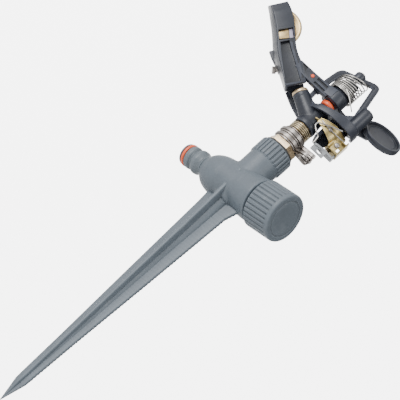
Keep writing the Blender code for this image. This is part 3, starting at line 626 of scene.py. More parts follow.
L = CAP_OUT - CAP_IN
cap = turned([(0, 19.9), (12.4, 19.9), (12.9, 19.1), (12.95, 0.0), (CAP_R - 0.5, 0.0), (CAP_R - 0.1, 0.3)] +
             [(CAP_R, h) for h in np.concatenate((np.linspace(0.8, 17.8, 16), np.linspace(18.1, 19.2, 5)))] +
             smooth_profile([(CAP_R, 19.6), (CAP_R, L - 1.5), (CAP_R - 0.45, L - 0.45), (CAP_R - 1.5, L - 0.02), (14.0, L), (13.2, L - 0.05), (12.9, L - 0.55), (12.3, L - 0.55), (11.9, L - 0.14), (9.5, L - 0.08), (0, L - 0.12)], 0.3),
             along_x(CAP_IN), seg=32 * 12, radius=cap_radius)
piece(cap, "screw_cap", GREY, "cap", ["end_cap"], sharp=60)

# ------------------------------------------------------------------ bearing
hexa = [(10.9 * math.cos(math.pi / 3 * k + 0.35), 10.9 * math.sin(math.pi / 3 * k + 0.35)) for k in range(6)]
flange = prism(hexa, 38.9, 43.4, r=0.7)
ring_ = turned(smooth_profile([(6.4, 53.6), (7.7, 53.6), (8.2, 53.1), (8.2, 43.0), (8.2, 37.4), (9.0, 37.3), (9.0, 24.2), (6.4, 24.2), (6.4, 53.6)], 0.3), None, 96, ring=False)
lip = turned(smooth_profile([(8.0, 37.5), (9.9, 37.6), (10.0, 38.7), (8.0, 38.9), (8.0, 37.5)], 0.2), None, 96)
flange = cut(flange, rod(6.5, 30, 50, None, 64))
piece(joined(flange, ring_, lip), "hex_sleeve", BRASS_PALE, "root", ["bearing_sleeve"], sharp=35)


def coil_path(r, z0, z1, turns, per, start=0.0, grow=1.0, lean=0.0, wob=0.0):
    path = []
    steps = int(turns * per)
    for k in range(steps + 1):
        t = k / steps
        a = start + 2 * math.pi * turns * t
        rr = r + wob * math.sin(a * 0.37)
        path.append((rr * math.cos(a), rr * math.sin(a), z0 + (z1 - z0) * t ** grow - lean * rr * math.cos(a) * t * t))
    return path


piece(swept(coil_path(7.4, 55.1, 61.35, 4.6, 48), circle(0.52, 12), rounded=0.3), "bearing_coil", WIRE_BRASS, "head", ["bearing_spring"], sharp=80)
washer = turned(smooth_profile([(6.4, 53.9), (8.6, 53.9), (8.6, 54.4), (6.4, 54.4), (6.4, 53.9)], 0.1), None, 80)
piece(washer, "bearing_washer", STEEL, "head", ["spring_washer"], sharp=30)


# ------------------------------------------------------------------ trip collars
def collar_clip(name, z0, z1, gap, reach, body, node, phase=0.0):
    r, t = 8.9, 0.75
    half = math.radians(13)
    side = Vector((-math.sin(gap), math.cos(gap), 0))
    out = Vector((math.cos(gap), math.sin(gap), 0))
    zc, h = (z0 + z1) / 2, (z1 - z0) / 2
    left = [out * reach + side * 4.5, out * (reach - 1.4) + side * 4.9, out * (reach - 4.2) + side * 3.9, out * (r + 2.2) + side * 2.4]
    right = [out * (r + 2.2) - side * 2.4, out * (reach - 4.2) - side * 3.9, out * (reach - 1.4) - side * 4.9, out * reach - side * 4.5]
    arc = []
    for k in range(57):
        a = gap + half + (2 * math.pi - 2 * half) * k / 56
        arc.append(Vector((math.cos(a), math.sin(a), 0)) * r)
    path = [tuple(Vector((p[0], p[1], zc))) for p in resample(left, 0.6)[:-1] + [tuple(v) for v in arc] + resample(right, 0.6)[1:]]
    # strip section with a broad pressed ridge between two flat borders
    def lift(u):
        e = max(0.0, min(1.0, (0.56 - abs(u)) / 0.16))
        return 0.95 * e * e * (3 - 2 * e)
    prof = []
    n = 26
    for k in range(n + 1):
        u = -1 + 2 * k / n
        prof.append((t / 2 + lift(u) - (0.12 if abs(u) > 0.97 else 0.0), u * h))
    for k in range(n, -1, -1):
        u = -1 + 2 * k / n
        prof.append((-t / 2 + lift(u) * 0.85 + (0.12 if abs(u) > 0.97 else 0.0), u * h))
    obj = swept(path, prof, up=(0, 0, 1), fixed=True)
    return piece(obj, name, STEEL, body, [node], sharp=50)


collar_clip("lower_clip", 44.0, 48.3, math.radians(16), 18.0, "collar_lower", "trip_collar_lower")
collar_clip("upper_clip", 48.8, 53.1, math.radians(34), 19.5, "collar_upper", "trip_collar_upper")

# ------------------------------------------------------------------ head housing
tilt = aimed(HEAD, (0, 0, 69.6), (math.cos(TILT), 0, math.sin(TILT)))
hub = turned(smooth_profile([(0, 62.0), (7.9, 62.0), (8.2, 62.4), (8.2, 65.0), (7.7, 66.4), (7.3, 70.0), (7.0, 74.0), (6.3, 79.0), (5.6, 82.2), (5.1, 83.0), (0, 83.0)], 0.5), None, 96)
barrel = turned(smooth_profile([(0, -3.0), (7.2, -3.0), (6.9, 6.0), (6.15, 13.0), (5.85, 18.0), (5.8, 20.6), (5.0, 20.6), (5.0, 15.0), (0, 15.0)], 0.25), tilt, 96)
neck = melted(joined(hub, barrel), voxel=0.4, rounds=4)
tip = turned(smooth_profile([(5.2, 17.5), (5.86, 17.6), (5.9, 18.4), (5.86, 20.4), (5.6, 20.62), (4.95, 20.62), (4.95, 17.5)], 0.15), tilt, 96, ring=False)
neck = cut(neck, rod(6.4, 61, 66.4, None, 64), rod(4.9, 14.3, 24, tilt, 48))


def wall_point(i, table):
    return table[max(0, min(len(table) - 1, i))]


skirt = [(6.6, 5.4, 77.6, 74.2), (5.0, 7.0, 78.2, 74.6), (1.0, 9.6, 79.6, 75.0), (-6.0, 11.3, 81.6, 76.2), (-14.0, 11.6, 83.3, 76.7), (-20.0, 10.6, 84.3, 77.0), (-25.0, 7.4, 84.8, 77.6), (-27.0, 2.5, 84.8, 78.2), (-27.2, -3.0, 84.8, 79.0), (-25.6, -6.6, 84.7, 80.4)]
fine = resample([(a, b, c) for a, b, c, d in skirt], 1.2)
low = resample([(a, b, d) for a, b, c, d in skirt], 1.2)
count = min(len(fine), len(low))
secs = []
for i in range(count):
    a = Vector(fine[min(i + 1, count - 1)][:2]) - Vector(fine[max(i - 1, 0)][:2])
    nrm = Vector((-a.y, a.x)).normalized()
    if nrm.dot(Vector((fine[i][0] + 10, fine[i][1]))) < 0:
        nrm = -nrm
    f, l = fine[i][:2]
    zt = fine[i][2]
    zb = low[min(i, len(low) - 1)][2]
    o, n_ = Vector((f, l)) + nrm * 1.1, Vector((f, l)) - nrm * 1.0
    secs.append(quad_section([(o.x, o.y, zb), (o.x, o.y, zt), (n_.x, n_.y, zt), (n_.x, n_.y, zb)], 0.55))
skirt_wall = lofted(secs, HEAD)
deck = lofted([quad_section([(3.0, -5.0, 76.2), (3.0, 8.0, 76.2), (3.0, 8.0, 78.6), (3.0, -5.0, 78.6)], 0.5),
               quad_section([(-10.0, -7.0, 80.0), (-10.0, 11.8, 80.0), (-10.0, 11.8, 82.4), (-10.0, -7.0, 82.4)], 0.5),
               quad_section([(-19.0, -6.8, 82.0), (-19.0, 10.8, 82.0), (-19.0, 10.8, 84.1), (-19.0, -6.8, 84.1)], 0.5),
               quad_section([(-25.6, -5.8, 82.6), (-25.6, 7.0, 82.6), (-25.6, 7.0, 84.6), (-25.6, -5.8, 84.6)], 0.5)], HEAD)
boss = turned(smooth_profile([(0, 81.0), (5.0, 81.0), (5.0, 100.6), (4.7, 102.4), (3.6, 103.2), (0, 103.2)], 0.5), head(BOSS_F), 80)
boss_bead = turned([(4.9 + 0.45 * math.cos(2 * math.pi * k / 12), 87.0 + 0.5 * math.sin(2 * math.pi * k / 12)) for k in range(12)], head(BOSS_F), 64, ring=True)
bridge_path = cornered([(12.4, 0, 75.0), (13.4, 0, 90.0), (12.8, 0, 100.0), (11.8, 0, 108.0), (10.2, 0, 111.0), (-11.4, 0, 119.7), (-14.0, 0, 119.5), (-15.3, 0, 113.0), (-18.0, 0, 101.0), (-20.0, 0, 90.0)], 1.2)
bridge = swept(bridge_path, rrect(4.2, 3.2, 0.5), HEAD, up=(-1, 0, 0))
inner_path = cornered([(10.6, 1.45, 86.0), (11.4, 1.45, 92.0), (10.7, 1.45, 100.0), (9.8, 1.45, 106.8), (9.1, 1.45, 108.7), (4.6, 1.45, 110.6)], 1.0)
flange_front = swept(inner_path, rrect(1.1, 1.6, 0.3), HEAD, up=(-1, 0, 0))
rear_in = cornered([(-9.6, 1.45, 116.9), (-12.1, 1.45, 117.3), (-13.2, 1.45, 113.0), (-15.8, 1.45, 101.4), (-17.6, 1.45, 93.0)], 1.0)
flange_rear = swept(rear_in, rrect(1.1, 1.8, 0.3), HEAD, up=(-1, 0, 0))
top_boss = turned(smooth_profile([(1.9, 114.2), (4.0, 114.2), (4.0, 118.6), (3.5, 119.4), (1.9, 119.4)], 0.3), HEAD, 64)
gusset = lofted([quad_section([(-6.4, -1.2, 78.6), (-6.4, 1.2, 78.6), (-6.4, 1.2, 83.9), (-6.4, -1.2, 83.9)], 0.4),
                 quad_section([(-9.8, -1.2, 79.7), (-9.8, 1.2, 79.7), (-9.8, 1.2, 86.8), (-9.8, -1.2, 86.8)], 0.4),
                 quad_section([(-18.4, -1.2, 82.0), (-18.4, 1.2, 82.0), (-18.4, 1.2, 95.4), (-18.4, -1.2, 95.4)], 0.4)], HEAD)
rib_front = swept(cornered([(6.4, 5.6, 77.0), (9.6, 4.0, 78.0), (12.4, 1.6, 80.2)], 2.0), rrect(1.4, 3.0, 0.4), HEAD, up=(0, 0, 1))
bracket = swept(resample([(4.0, -3.6, 69.4), (12.0, -6.4, 72.6), (19.5, -9.0, 76.4), (28.0, -9.6, 80.3), (34.0, -9.6, 82.6), (40.0, -9.6, 84.8), (50.0, -9.6, 88.2), (55.6, -9.6, 90.9)], 1.5), rrect(3.0, 4.6, 0.5), HEAD, rounded=0.3)
web = swept(resample([(6.0, -2.4, 67.4), (12.0, -5.4, 70.4), (19.0, -8.4, 74.0), (27.0, -9.6, 78.2)], 1.5), rrect(1.4, 5.6, 0.4), HEAD)
cheek = lofted([quad_section([(f, b0, z0), (f, b1, z0), (f, b1, z1), (f, b0, z1)], 0.4) for f, b0, b1, z0, z1 in (
    (13.2, -8.2, -6.0, 74.5, 76.4), (19.5, -10.1, -7.9, 76.6, 82.5), (28.0, -10.7, -8.5, 80.3, 85.9), (34.3, -10.7, -8.5, 82.8, 86.3))], HEAD)
leg = lofted([quad_section([(-12.2, -4.0, z), (-12.2, 5.4, z), (-9.4, 6.2, z), (-9.4, -4.0, z)], 0.5) for z in (61.8, 63.0, 71.0, 80.4)], HEAD)
shield = lofted([quad_section([(f, -5.8, z0), (f, -4.5, z0), (f, -4.5, 82.0), (f, -5.8, 82.0)], 0.3) for f, z0 in ((-9.6, 61.8), (-12.0, 61.4), (-17.0, 63.0), (-20.5, 70.0), (-22.5, 80.2))], HEAD)
screw_frame = aimed(HEAD, (40.6, -9.6, 86.2), (0.7, 0, -0.71))
screw_boss = turned(smooth_profile([(1.85, -4.4), (2.9, -4.4), (2.9, 3.4), (1.85, 3.4), (1.85, -4.4)], 0.25), screw_frame, 48)
piece(joined(neck, tip, skirt_wall, deck, boss, boss_bead, bridge, flange_front, flange_rear, top_boss, gusset, rib_front, bracket, web, cheek, leg, shield, screw_boss),
      "head_moulding", CHARCOAL, "head", ["head_housing"], sharp=42)

b = 20.6
piece(turned(smooth_profile([(2.3, b - 6.0), (4.6, b - 6.0), (4.6, b + 0.15), (5.55, b + 0.15), (5.7, b + 0.7), (5.45, b + 1.9), (4.7, b + 2.75), (3.6, b + 3.0), (2.9, b + 2.6), (2.3, b + 1.2), (2.3, b - 6.0)], 0.2), tilt, 96),
      "jet_nozzle", BRASS_PALE, "head", ["nozzle"], sharp=60)
piece(turned(smooth_profile([(0, 78.6), (1.55, 78.6), (1.55, 119.8), (2.4, 119.85), (2.3, 120.4), (1.4, 120.85), (0, 120.85)], 0.2), HEAD, 40), "pivot_pin", WIRE, "head", ["fulcrum_pin"], sharp=50)
piece(turned(smooth_profile([(1.9, 83.3), (4.2, 83.3), (5.2, 83.8), (5.6, 85.2), (5.2, 86.7), (4.2, 87.3), (1.9, 87.3), (1.9, 83.3)], 0.45), HEAD, 80), "orange_washer", ORANGE, "head", ["arm_washer"], sharp=70)


# ------------------------------------------------------------------ drive arm
def spoon_point(s, t, l):
    c, n = math.cos(SPOON_TILT), math.sin(SPOON_TILT)
    return Vector((SPOON_F + s * c - t * n, l, SPOON_Z + s * n + t * c))


# near lower, near upper, far upper and far lower corner of each section, as (s, t) pairs, then the near face's l
SPOON = [
    (-3.2, -4.2, -3.2, 11.0, -2.4, 11.4, -2.6, -2.4, 7.0), (6.0, -3.3, 6.0, 11.5, 6.0, 11.9, 6.0, -2.6, 7.0), (12.0, -2.9, 12.0, 11.6, 12.0, 12.0, 12.0, -2.8, 7.0),
    (18.0, -2.7, 18.0, 11.0, 18.0, 11.6, 18.0, -3.1, 7.0), (24.0, -2.0, 24.0, 11.2, 24.0, 11.8, 24.0, -2.9, 7.0), (30.0, -0.7, 30.0, 12.3, 30.0, 12.6, 30.0, -2.2, 7.0),
    (36.0, 0.7, 36.0, 13.4, 36.0, 13.6, 36.0, -0.9, 7.0), (43.0, 1.7, 43.0, 14.7, 43.0, 14.9, 43.0, 0.5, 7.0), (50.0, 2.1, 50.0, 15.2, 51.0, 15.4, 51.0, 1.6, 6.95),
    (53.6, 2.15, 53.7, 15.0, 56.5, 15.45, 56.4, 2.3, 6.3), (57.3, 2.1, 57.9, 14.4, 62.2, 15.4, 62.0, 2.8, 5.6)]


def spoon_table():
    """The sections of the spoon, run smoothly through the table."""
    rows_ = [np.array(r) for r in SPOON]
    rows_ = [rows_[0] * 2 - rows_[1]] + rows_ + [rows_[-1] * 2 - rows_[-2]]
    out = []
    for i in range(1, len(rows_) - 2):
        for k in range(6):
            t = k / 6
            a, b_, c_, d_ = rows_[i - 1], rows_[i], rows_[i + 1], rows_[i + 2]
            out.append(0.5 * ((2 * b_) + (c_ - a) * t + (2 * a - 5 * b_ + 4 * c_ - d_) * t * t + (3 * b_ - a - 3 * c_ + d_) * t ** 3))
    out.append(rows_[-2])
    return out


def spoon_section(row, r, grow=0.0):
    s0, t0, s1, t1, s2, t2, s3, t3, near = [float(v) for v in row]
    return quad_section([spoon_point(s0, t0 - grow, near + grow), spoon_point(s1, t1 + grow, near + grow), spoon_point(s2, t2 + grow, -6.0 - grow), spoon_point(s3, t3 - grow, -6.0 - grow)], r, 4)


table_rows = spoon_table()
first, last = table_rows[0], table_rows[-1]
shell = lofted([spoon_section(first, 0.9, -0.6)] + [spoon_section(first + (table_rows[1] - first) * 0.25, 0.9, -0.12)] + [spoon_section(r_, 0.9) for r_ in table_rows[1:-1]]
               + [spoon_section(last - (last - table_rows[-2]) * 0.3, 0.9, -0.1), spoon_section(last, 0.9, -0.6)], HEAD)


def loft_cut(rows, r):
    return lofted([quad_section([spoon_point(s, u, l0), spoon_point(s, u, l1), spoon_point(s, w, l1), spoon_point(s, w, l0)], r, 4) for s, u, w, l0, l1 in rows], HEAD)


channel = loft_cut([(-6, -1.6, 18, -4.0, 4.4), (8, -0.6, 18, -4.0, 4.4), (28, 2.0, 18, -4.0, 4.4), (38, 3.8, 18, -4.0, 4.4), (50.8, 4.0, 18, -4.0, 4.4)], 1.0)
trough = loft_cut([(-1.6, -3.4, 7.2, 6.1, 9.0), (2.0, -3.0, 7.2, 6.0, 9.0), (12.0, -1.6, 7.2, 5.9, 9.0), (19.0, -0.6, 7.2, 5.7, 9.0), (22.0, -0.2, 7.2, 5.0, 9.0), (28.7, 1.1, 7.4, 4.8, 9.0)], 0.5)
window = loft_cut([(30.0, 0.9, 11.4, 4.0, 9.0), (37.6, 2.0, 12.3, 4.0, 9.0)], 0.3)
flute = loft_cut([(0.0, 8.9, 9.8, 6.6, 9.0), (12.0, 8.9, 9.9, 6.5, 9.0), (22.0, 8.9, 9.8, 6.5, 9.0), (27.6, 9.4, 9.8, 6.7, 9.0)], 0.2)


def weight_outline(radius, drop):
    cs, ct = 41.0, 5.9
    pts = []
    for k in range(65):
        a = math.radians(-12.0 + 204.0 * k / 64)
        pts.append((cs + radius * math.cos(a), ct + radius * math.sin(a)))
    pts = [(u, w) for u, w in pts if w > 2.8 + drop + (u - 28.0) * 0.1]
    return pts + [(cs - radius + 0.3, 2.7 + drop), (cs + radius - 0.5, 5.2 + drop)]


def weight_plate(radius, drop, layers):
    """layers: (inset, l) pairs from the far face to the near face."""
    base = weight_outline(radius, drop)
    secs_ = []
    for inset, l in layers:
        pts = []
        for u, w in base:
            du, dw = 41.0 - u, 8.0 - w
            n_ = math.hypot(du, dw)
            pts.append(tuple(spoon_point(u + du / n_ * inset, w + dw / n_ * inset, l)))
        secs_.append(pts)
    return lofted(secs_, HEAD)


shell = cut(shell, channel, trough, window, flute, weight_plate(14.2, -0.3, [(0, 1.3), (0, 4.4)]))
hub2 = turned(smooth_profile([(1.9, 87.6), (7.4, 87.6), (8.2, 88.2), (8.2, 96.0), (7.8, 96.6), (7.7, 97.2), (7.6, 97.4), (7.6, 103.4), (7.2, 104.0), (5.6, 104.2), (5.6, 109.6), (5.0, 110.2), (1.9, 110.2), (1.9, 87.6)], 0.35), HEAD, 96)
bar = lofted([quad_section([(f, l0, z0), (f, l1, z0), (f, l1, z1), (f, l0, z1)], 0.45) for f, l0, l1, z0, z1 in
              ((4.8, 2.6, 7.6, 86.5, 95.2), (12.0, 2.6, 7.5, 86.4, 94.4), (20.0, 2.6, 7.3, 86.4, 94.0), (27.0, 2.6, 7.0, 86.6, 94.0), (34.0, 2.4, 6.8, 87.6, 94.0))], HEAD)
bar = cut(bar, box(5.4, 17.2, 6.5, 9.0, 87.7, 89.3, HEAD, 0.25), box(5.4, 17.2, 6.5, 9.0, 91.0, 92.8, HEAD, 0.25),
          prism([(26.6, 89.6), (31.6, 92.9), (27.4, 93.1)], -9.0, -6.2, HEAD @ Matrix.Rotation(math.pi / 2, 4, "X"), r=0.0),
          rod(1.75, 6.9, 9.0, aimed(HEAD, (20.9, 0, 90.9), (0, 1, 0)), 32))
seat = turned(smooth_profile([(1.35, 6.5), (1.75, 6.5), (1.75, 7.35), (1.35, 7.35), (1.35, 6.5)], 0.1), aimed(HEAD, (20.9, 0, 90.9), (0, 1, 0)), 32)
hub_wing = lofted([quad_section([(2.0, 4.4, 88.4), (2.0, 8.3, 88.4), (2.0, 8.3, 96.0), (2.0, 4.4, 96.0)], 0.4), quad_section([(8.0, 4.6, 87.6), (8.0, 7.5, 87.6), (8.0, 7.5, 95.0), (8.0, 4.6, 95.0)], 0.4)], HEAD)
tail = lofted([quad_section([(a, b0, c0), (a, b1, c1), (a, b2, c2), (a, b3, c3)], 0.5) for a, b0, c0, b1, c1, b2, c2, b3, c3 in (
    (-3.0, -2.6, 87.8, -7.4, 87.8, -7.4, 92.6, -2.6, 92.6), (-14.0, -5.6, 88.0, -8.8, 88.0, -8.8, 92.6, -5.6, 92.6),
    (-25.0, -7.4, 88.8, -10.8, 89.2, -11.2, 97.0, -7.8, 96.6), (-33.0, -8.0, 91.6, -11.2, 92.0, -12.8, 102.0, -9.6, 101.6))], HEAD)
u_ = Vector((-0.99, -0.1, 0.12)).normalized()
w_ = Vector((-0.146, 0.766, 0.62))
w_ = (w_ - u_ * w_.dot(u_)).normalized()
v_ = w_.cross(u_)
dish_frame = HEAD @ Matrix.Translation((-38.8, -9.6, 100.8)) @ Matrix((u_, v_, w_)).transposed().to_4x4()
dish = turned(smooth_profile([(0, -3.0), (12.4, -3.0), (13.8, -2.2), (14.0, 1.3), (13.85, 1.95), (13.3, 2.2), (12.4, 2.05), (12.1, 1.2), (11.9, 0.1), (11.3, -0.05), (10.2, -0.05), (10.0, 0.25), (9.5, 0.25), (9.3, -0.05), (0, -0.05)], 0.2), dish_frame @ Matrix.Diagonal((1.045, 0.93, 1, 1)), 96)
dish_lip = turned([(13.8 + 0.28 * math.cos(2 * math.pi * k / 10), -0.9 + 0.28 * math.sin(2 * math.pi * k / 10)) for k in range(10)], dish_frame @ Matrix.Diagonal((1.04, 0.925, 1, 1)), 96, ring=True)
piece(joined(shell, hub2, bar, seat, hub_wing, tail, dish, dish_lip), "drive_arm_moulding", CHARCOAL, "arm", ["drive_arm"], sharp=42)
insert = lofted([quad_section([spoon_point(u, w0, l0), spoon_point(u, w1, l0), spoon_point(u, w1, l1), spoon_point(u, w0, l1)], 0.25) for u, w0, w1, l0, l1 in
                 ((30.3, 1.2, 8.1, 4.3, 5.1), (32.5, 1.5, 8.4, 4.3, 5.55), (35.0, 1.9, 8.9, 4.3, 5.65), (37.3, 2.3, 9.4, 4.3, 5.3))], HEAD)
piece(joined(weight_plate(13.9, 0.0, [(0.9, 1.6), (0.3, 1.75), (0.0, 2.3), (0.0, 3.4), (0.3, 3.9), (0.9, 4.0), (2.2, 4.0), (2.4, 3.8)]), insert), "brass_weight", BRASS, "arm", ["deflector_disc"], sharp=60)
# a lilac sheet set in the window, painted in for the pale light seen there
piece(lofted([quad_section([spoon_point(u, w0, 4.3), spoon_point(u, w1, 4.3), spoon_point(u, w1, 5.3), spoon_point(u, w0, 5.0)], 0.25) for u, w0, w1 in ((30.3, 8.4, 11.2), (37.3, 9.7, 12.1))], HEAD),
      "window_painted_light", LILAC_PAINTED_LIGHT, "arm", [], sharp=60)
piece(turned(smooth_profile([(0, 6.95), (1.25, 6.95), (1.3, 7.35), (0.9, 7.75), (0, 7.8)], 0.2), aimed(HEAD, (20.9, 0, 90.9), (0, 1, 0)), 32), "orange_plug", ORANGE, "arm", ["arm_plug"], sharp=70)

# ------------------------------------------------------------------ arm spring
path = coil_path(9.2, 97.9, 112.6, 10.0, 56, grow=1.6, lean=0.38)
piece(swept(path, circle(0.45, 12), HEAD, rounded=0.3), "arm_coil", WIRE, "head", ["arm_spring"], sharp=80)
tail_wire = swept(resample([(-1.0, 8.9, 100.4), (-5.6, 9.6, 97.6), (-10.0, 9.8, 94.4), (-13.4, 9.2, 92.0), (-14.6, 7.4, 91.6), (-14.2, 6.0, 92.4)], 0.5), circle(0.42, 12), HEAD, rounded=0.25)
piece(tail_wire, "arm_coil_end", WIRE, "head", [], sharp=80)

# ------------------------------------------------------------------ trip gear
tf = head(BOSS_F)
piece(turned(smooth_profile([(0, 60.6), (2.4, 60.6), (2.6, 60.9), (2.6, 61.4), (1.5, 61.7), (1.5, 98.0), (0, 98.0)], 0.15), tf, 40), "trip_pivot", STEEL, "head", ["trip_pin"], sharp=50)
sleeve = turned(smooth_profile([(1.8, 63.0), (3.0, 63.0), (3.2, 63.2), (3.2, 76.8), (3.0, 77.0), (1.8, 77.0), (1.8, 63.0)], 0.15), tf, 56)
rows = []
for x, y, z0, z1 in ((-3.6, 1.4, 63.2, 75.2), (0.0, 4.8, 63.8, 75.6), (3.0, 7.9, 64.6, 75.6), (6.5, 9.3, 65.6, 75.4), (10.0, 9.6, 66.8, 74.6), (14.0, 9.3, 68.0, 73.6), (17.6, 8.6, 69.2, 72.4)):
    rows.append((x, y, z0, z1))
top_edge = resample([(a, b_, d) for a, b_, c, d in rows], 0.8)
low_edge = resample([(a, b_, c) for a, b_, c, d in rows], 0.8)
secs = []
for i in range(min(len(top_edge), len(low_edge))):
    x, y, z1 = top_edge[i]
    z0 = low_edge[i][2]
    secs.append(quad_section([(x, y - 0.35, z0), (x, y + 0.35, z0), (x, y + 0.35, z1), (x, y - 0.35, z1)], 0.15, 2))
plate = lofted(secs, tf)
lip1 = swept([(x, y + 0.3, z) for x, y, z in top_edge], rrect(0.7, 0.5, 0.15), tf)
floor_p = box(-7.0, 1.6, -2.6, 6.2, 62.2, 63.2, tf, 0.3)
back_p = box(-7.3, -6.3, -2.6, 6.2, 62.2, 74.6, tf, 0.3)
side_p = box(-7.0, 1.0, 5.3, 6.2, 62.4, 71.6, tf, 0.3)
ear = box(-6.8, -3.2, 5.4, 8.2, 70.6, 71.6, tf, 0.25)
fold = box(-2.6, 2.4, 4.6, 8.8, 72.6, 73.5, tf @ Matrix.Rotation(0.25, 4, "Y"), 0.25)
tab = box(0.4, 1.4, 5.0, 8.4, 62.0, 67.6, tf, 0.3)
side_p = cut(side_p, rod(1.2, 3, 9, aimed(tf, (-2.6, 0, 67.2), (0, 1, 0)), 24), box(-6.2, -4.6, 3, 9, 63.8, 66.4, tf, 0.2))
piece(joined(sleeve, plate, lip1, floor_p, back_p, side_p, ear, fold, tab), "trip_bracket", OLIVE, "trip", ["trip_lever"], sharp=38)
piece(joined(turned(smooth_profile([(0, 5.0), (1.0, 5.0), (1.0, 6.3), (1.9, 6.4), (1.75, 7.1), (1.0, 7.5), (0, 7.6)], 0.12), aimed(tf, (-2.6, 0, 67.2), (0, 1, 0)), 32),
             turned(smooth_profile([(0, 8.4), (1.0, 8.4), (1.0, 9.9), (1.6, 10.0), (1.5, 10.5), (0.8, 10.9), (0, 10.95)], 0.12), aimed(tf, (7.4, 0, 70.6), (0, 1, 0)), 32)),
      "trip_rivets", STEEL, "trip", ["trip_rivet"], sharp=60)
finger = lofted([quad_section([(a, b0, z), (a, b1, z), (a, b1, z + 1.6), (a, b0, z + 1.6)], 0.4) for a, b0, b1, z in
                 ((-6.6, -2.4, 3.6, 58.6), (-2.0, -2.6, 4.4, 58.6), (2.6, -2.0, 4.8, 58.4), (7.0, 0.6, 5.6, 57.6), (8.2, 1.6, 5.0, 57.4))], tf)
finger = cut(finger, turned([(0, -3), (1.5, -3), (1.5, 6), (0, 6)], tf @ Matrix.Translation((4.6, 2.6, 57.6)) @ Matrix.Diagonal((1.25, 0.8, 1, 1)), 32))
blade = box(-1.6, 8.8, 3.0, 4.4, 53.9, 59.4, tf, 0.4)
blade = cut(blade, turned([(0, 0), (1.5, 0), (1.5, 9), (0, 9)], aimed(tf, (2.6, 0, 56.6), (0, 1, 0)) @ Matrix.Diagonal((1.5, 1.0, 1, 1)), 32))
post = box(-6.6, -5.4, -2.2, 3.4, 59.4, 62.0, tf, 0.3)
piece(joined(finger, blade, post), "trip_tongue", FINGER, "trip", ["trip_finger"], sharp=40)
wire1 = swept(resample([(1.0, 11.6, 75.0), (7.0, 11.5, 72.6), (14.0, 11.3, 69.0), (16.4, 11.4, 67.4), (16.0, 11.8, 64.6), (12.6, 12.0, 62.0), (9.4, 11.8, 60.0), (8.6, 11.0, 54.8)], 0.5), circle(0.5, 12), tf, rounded=0.3)
piece(wire1, "trip_wire_form", WIRE, "trip", ["trip_wire"], sharp=80)
wire2 = swept(resample([(15.6, 10.0, 71.2), (9.0, 10.6, 70.2), (2.0, 9.0, 71.0), (-4.0, 7.4, 72.0)], 0.5), circle(0.42, 12), tf, rounded=0.3)
piece(wire2, "trip_link_wire", WIRE, "trip", [], sharp=80)

# ------------------------------------------------------------------ diffuser screw
screw = joined(turned(smooth_profile([(0, -8.5), (0.7, -8.5), (1.45, -7.4), (1.5, -7.0), (1.5, 5.2), (0, 5.2)], 0.1), screw_frame, 32, radius=None),
               prism([(2.6 * math.cos(math.pi / 3 * k), 2.6 * math.sin(math.pi / 3 * k)) for k in range(6)], 5.0, 7.6, screw_frame, r=0.35))
piece(screw, "diffuser_bolt", STEEL, "diffuser", ["diffuser_screw"], sharp=35)

# ------------------------------------------------------------------ carried-over nodes
for node, mat in (("connector_seal", RUBBER), ("cap_seal", RUBBER), ("sleeve_seal", RUBBER), ("bearing_tube", BRASS)):
    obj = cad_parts[node]
    obj.data.materials.clear()
    obj.data.materials.append(mat)

# ------------------------------------------------------------------ stage
bpy.ops.mesh.primitive_plane_add(size=9.0, location=(0, 0, -0.62))
floor = bpy.context.object
floor.name = "floor"
fm, fnt, fsh = nodes_of("pale_floor")
fsh.inputs["Base Color"].default_value = (0.8, 0.8, 0.8, 1)
fsh.inputs["Roughness"].default_value = 0.8
floor.data.materials.append(fm)

world = bpy.data.worlds.new("studio")
bpy.context.scene.world = world
world.use_nodes = True
wn = world.node_tree
bg = wn.nodes["Background"]
tc = wn.nodes.new("ShaderNodeTexCoord")


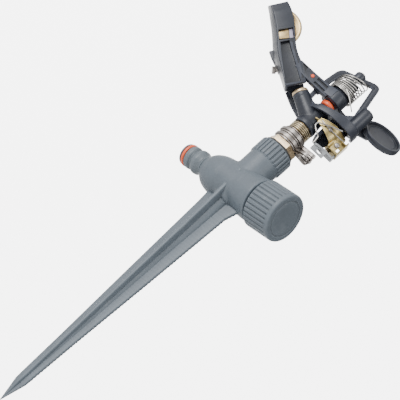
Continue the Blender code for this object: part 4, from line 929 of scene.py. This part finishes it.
def facing(direction, lo, hi, value_lo, value_hi):
    """Brightness that rises as the sky turns towards a direction."""
    dot = wn.nodes.new("ShaderNodeVectorMath")
    dot.operation = "DOT_PRODUCT"
    dot.inputs[1].default_value = direction
    wn.links.new(tc.outputs["Generated"], dot.inputs[0])
    rng = wn.nodes.new("ShaderNodeMapRange")
    rng.interpolation_type = "SMOOTHSTEP"
    rng.inputs["From Min"].default_value = lo
    rng.inputs["From Max"].default_value = hi
    rng.inputs["To Min"].default_value = value_lo
    rng.inputs["To Max"].default_value = value_hi
    wn.links.new(dot.outputs["Value"], rng.inputs["Value"])
    return rng.outputs["Result"]


sky = facing((-0.4646, -0.6296, 0.622), -0.75, 0.9, 0.22, 1.35)
backdrop = facing((-0.586, 0.7451, 0.317), 0.86, 0.97, 0.0, 5.5)
add = wn.nodes.new("ShaderNodeMath")
add.operation = "ADD"
wn.links.new(sky, add.inputs[0])
wn.links.new(backdrop, add.inputs[1])
wn.links.new(add.outputs["Value"], bg.inputs["Strength"])
bg.inputs["Color"].default_value = (1.0, 1.0, 1.0, 1)

R = Vector((0.6635, 0.2172, 0.7155))
U = Vector((-0.4646, -0.6296, 0.622))
T = Vector((0.586, -0.7451, -0.317)).normalized()
R = (R - T * R.dot(T)).normalized()
U = T.cross(R)
ROLL = 0.0112
R, U = R * math.cos(ROLL) - U * math.sin(ROLL), U * math.cos(ROLL) + R * math.sin(ROLL)
PX, D = 0.00065, 1.1
JUNCTION = Vector((0, 0, SOIL * MM))
target = JUNCTION + R * (-37.5 * PX) + U * (-12.7 * PX)


def area(name, where, size, energy, colour=(1, 1, 1)):
    data = bpy.data.lights.new(name, "AREA")
    data.shape = "SQUARE"
    data.size = size
    data.energy = energy
    data.color = colour
    obj = bpy.data.objects.new(name, data)
    bpy.context.scene.collection.objects.link(obj)
    obj.location = where
    obj.rotation_euler = (target - Vector(where)).to_track_quat("-Z", "Y").to_euler()
    return obj


area("key", tuple(target + U * 0.75 + T * 0.55 - R * 0.15), 0.5, 9.0)
area("side", tuple(target + R * 0.8 + T * 0.5 + U * 0.1), 0.4, 2.5)

cam = bpy.data.cameras.new("camera")
cam.sensor_width = 36.0
cam.lens = 36.0 * D / (400 * PX)
cam.clip_end = 20.0
camera = bpy.data.objects.new("camera", cam)
bpy.context.scene.collection.objects.link(camera)
m = Matrix((R, U, T)).transposed().to_4x4()
m.translation = target + T * D
camera.matrix_world = m
bpy.context.scene.camera = camera
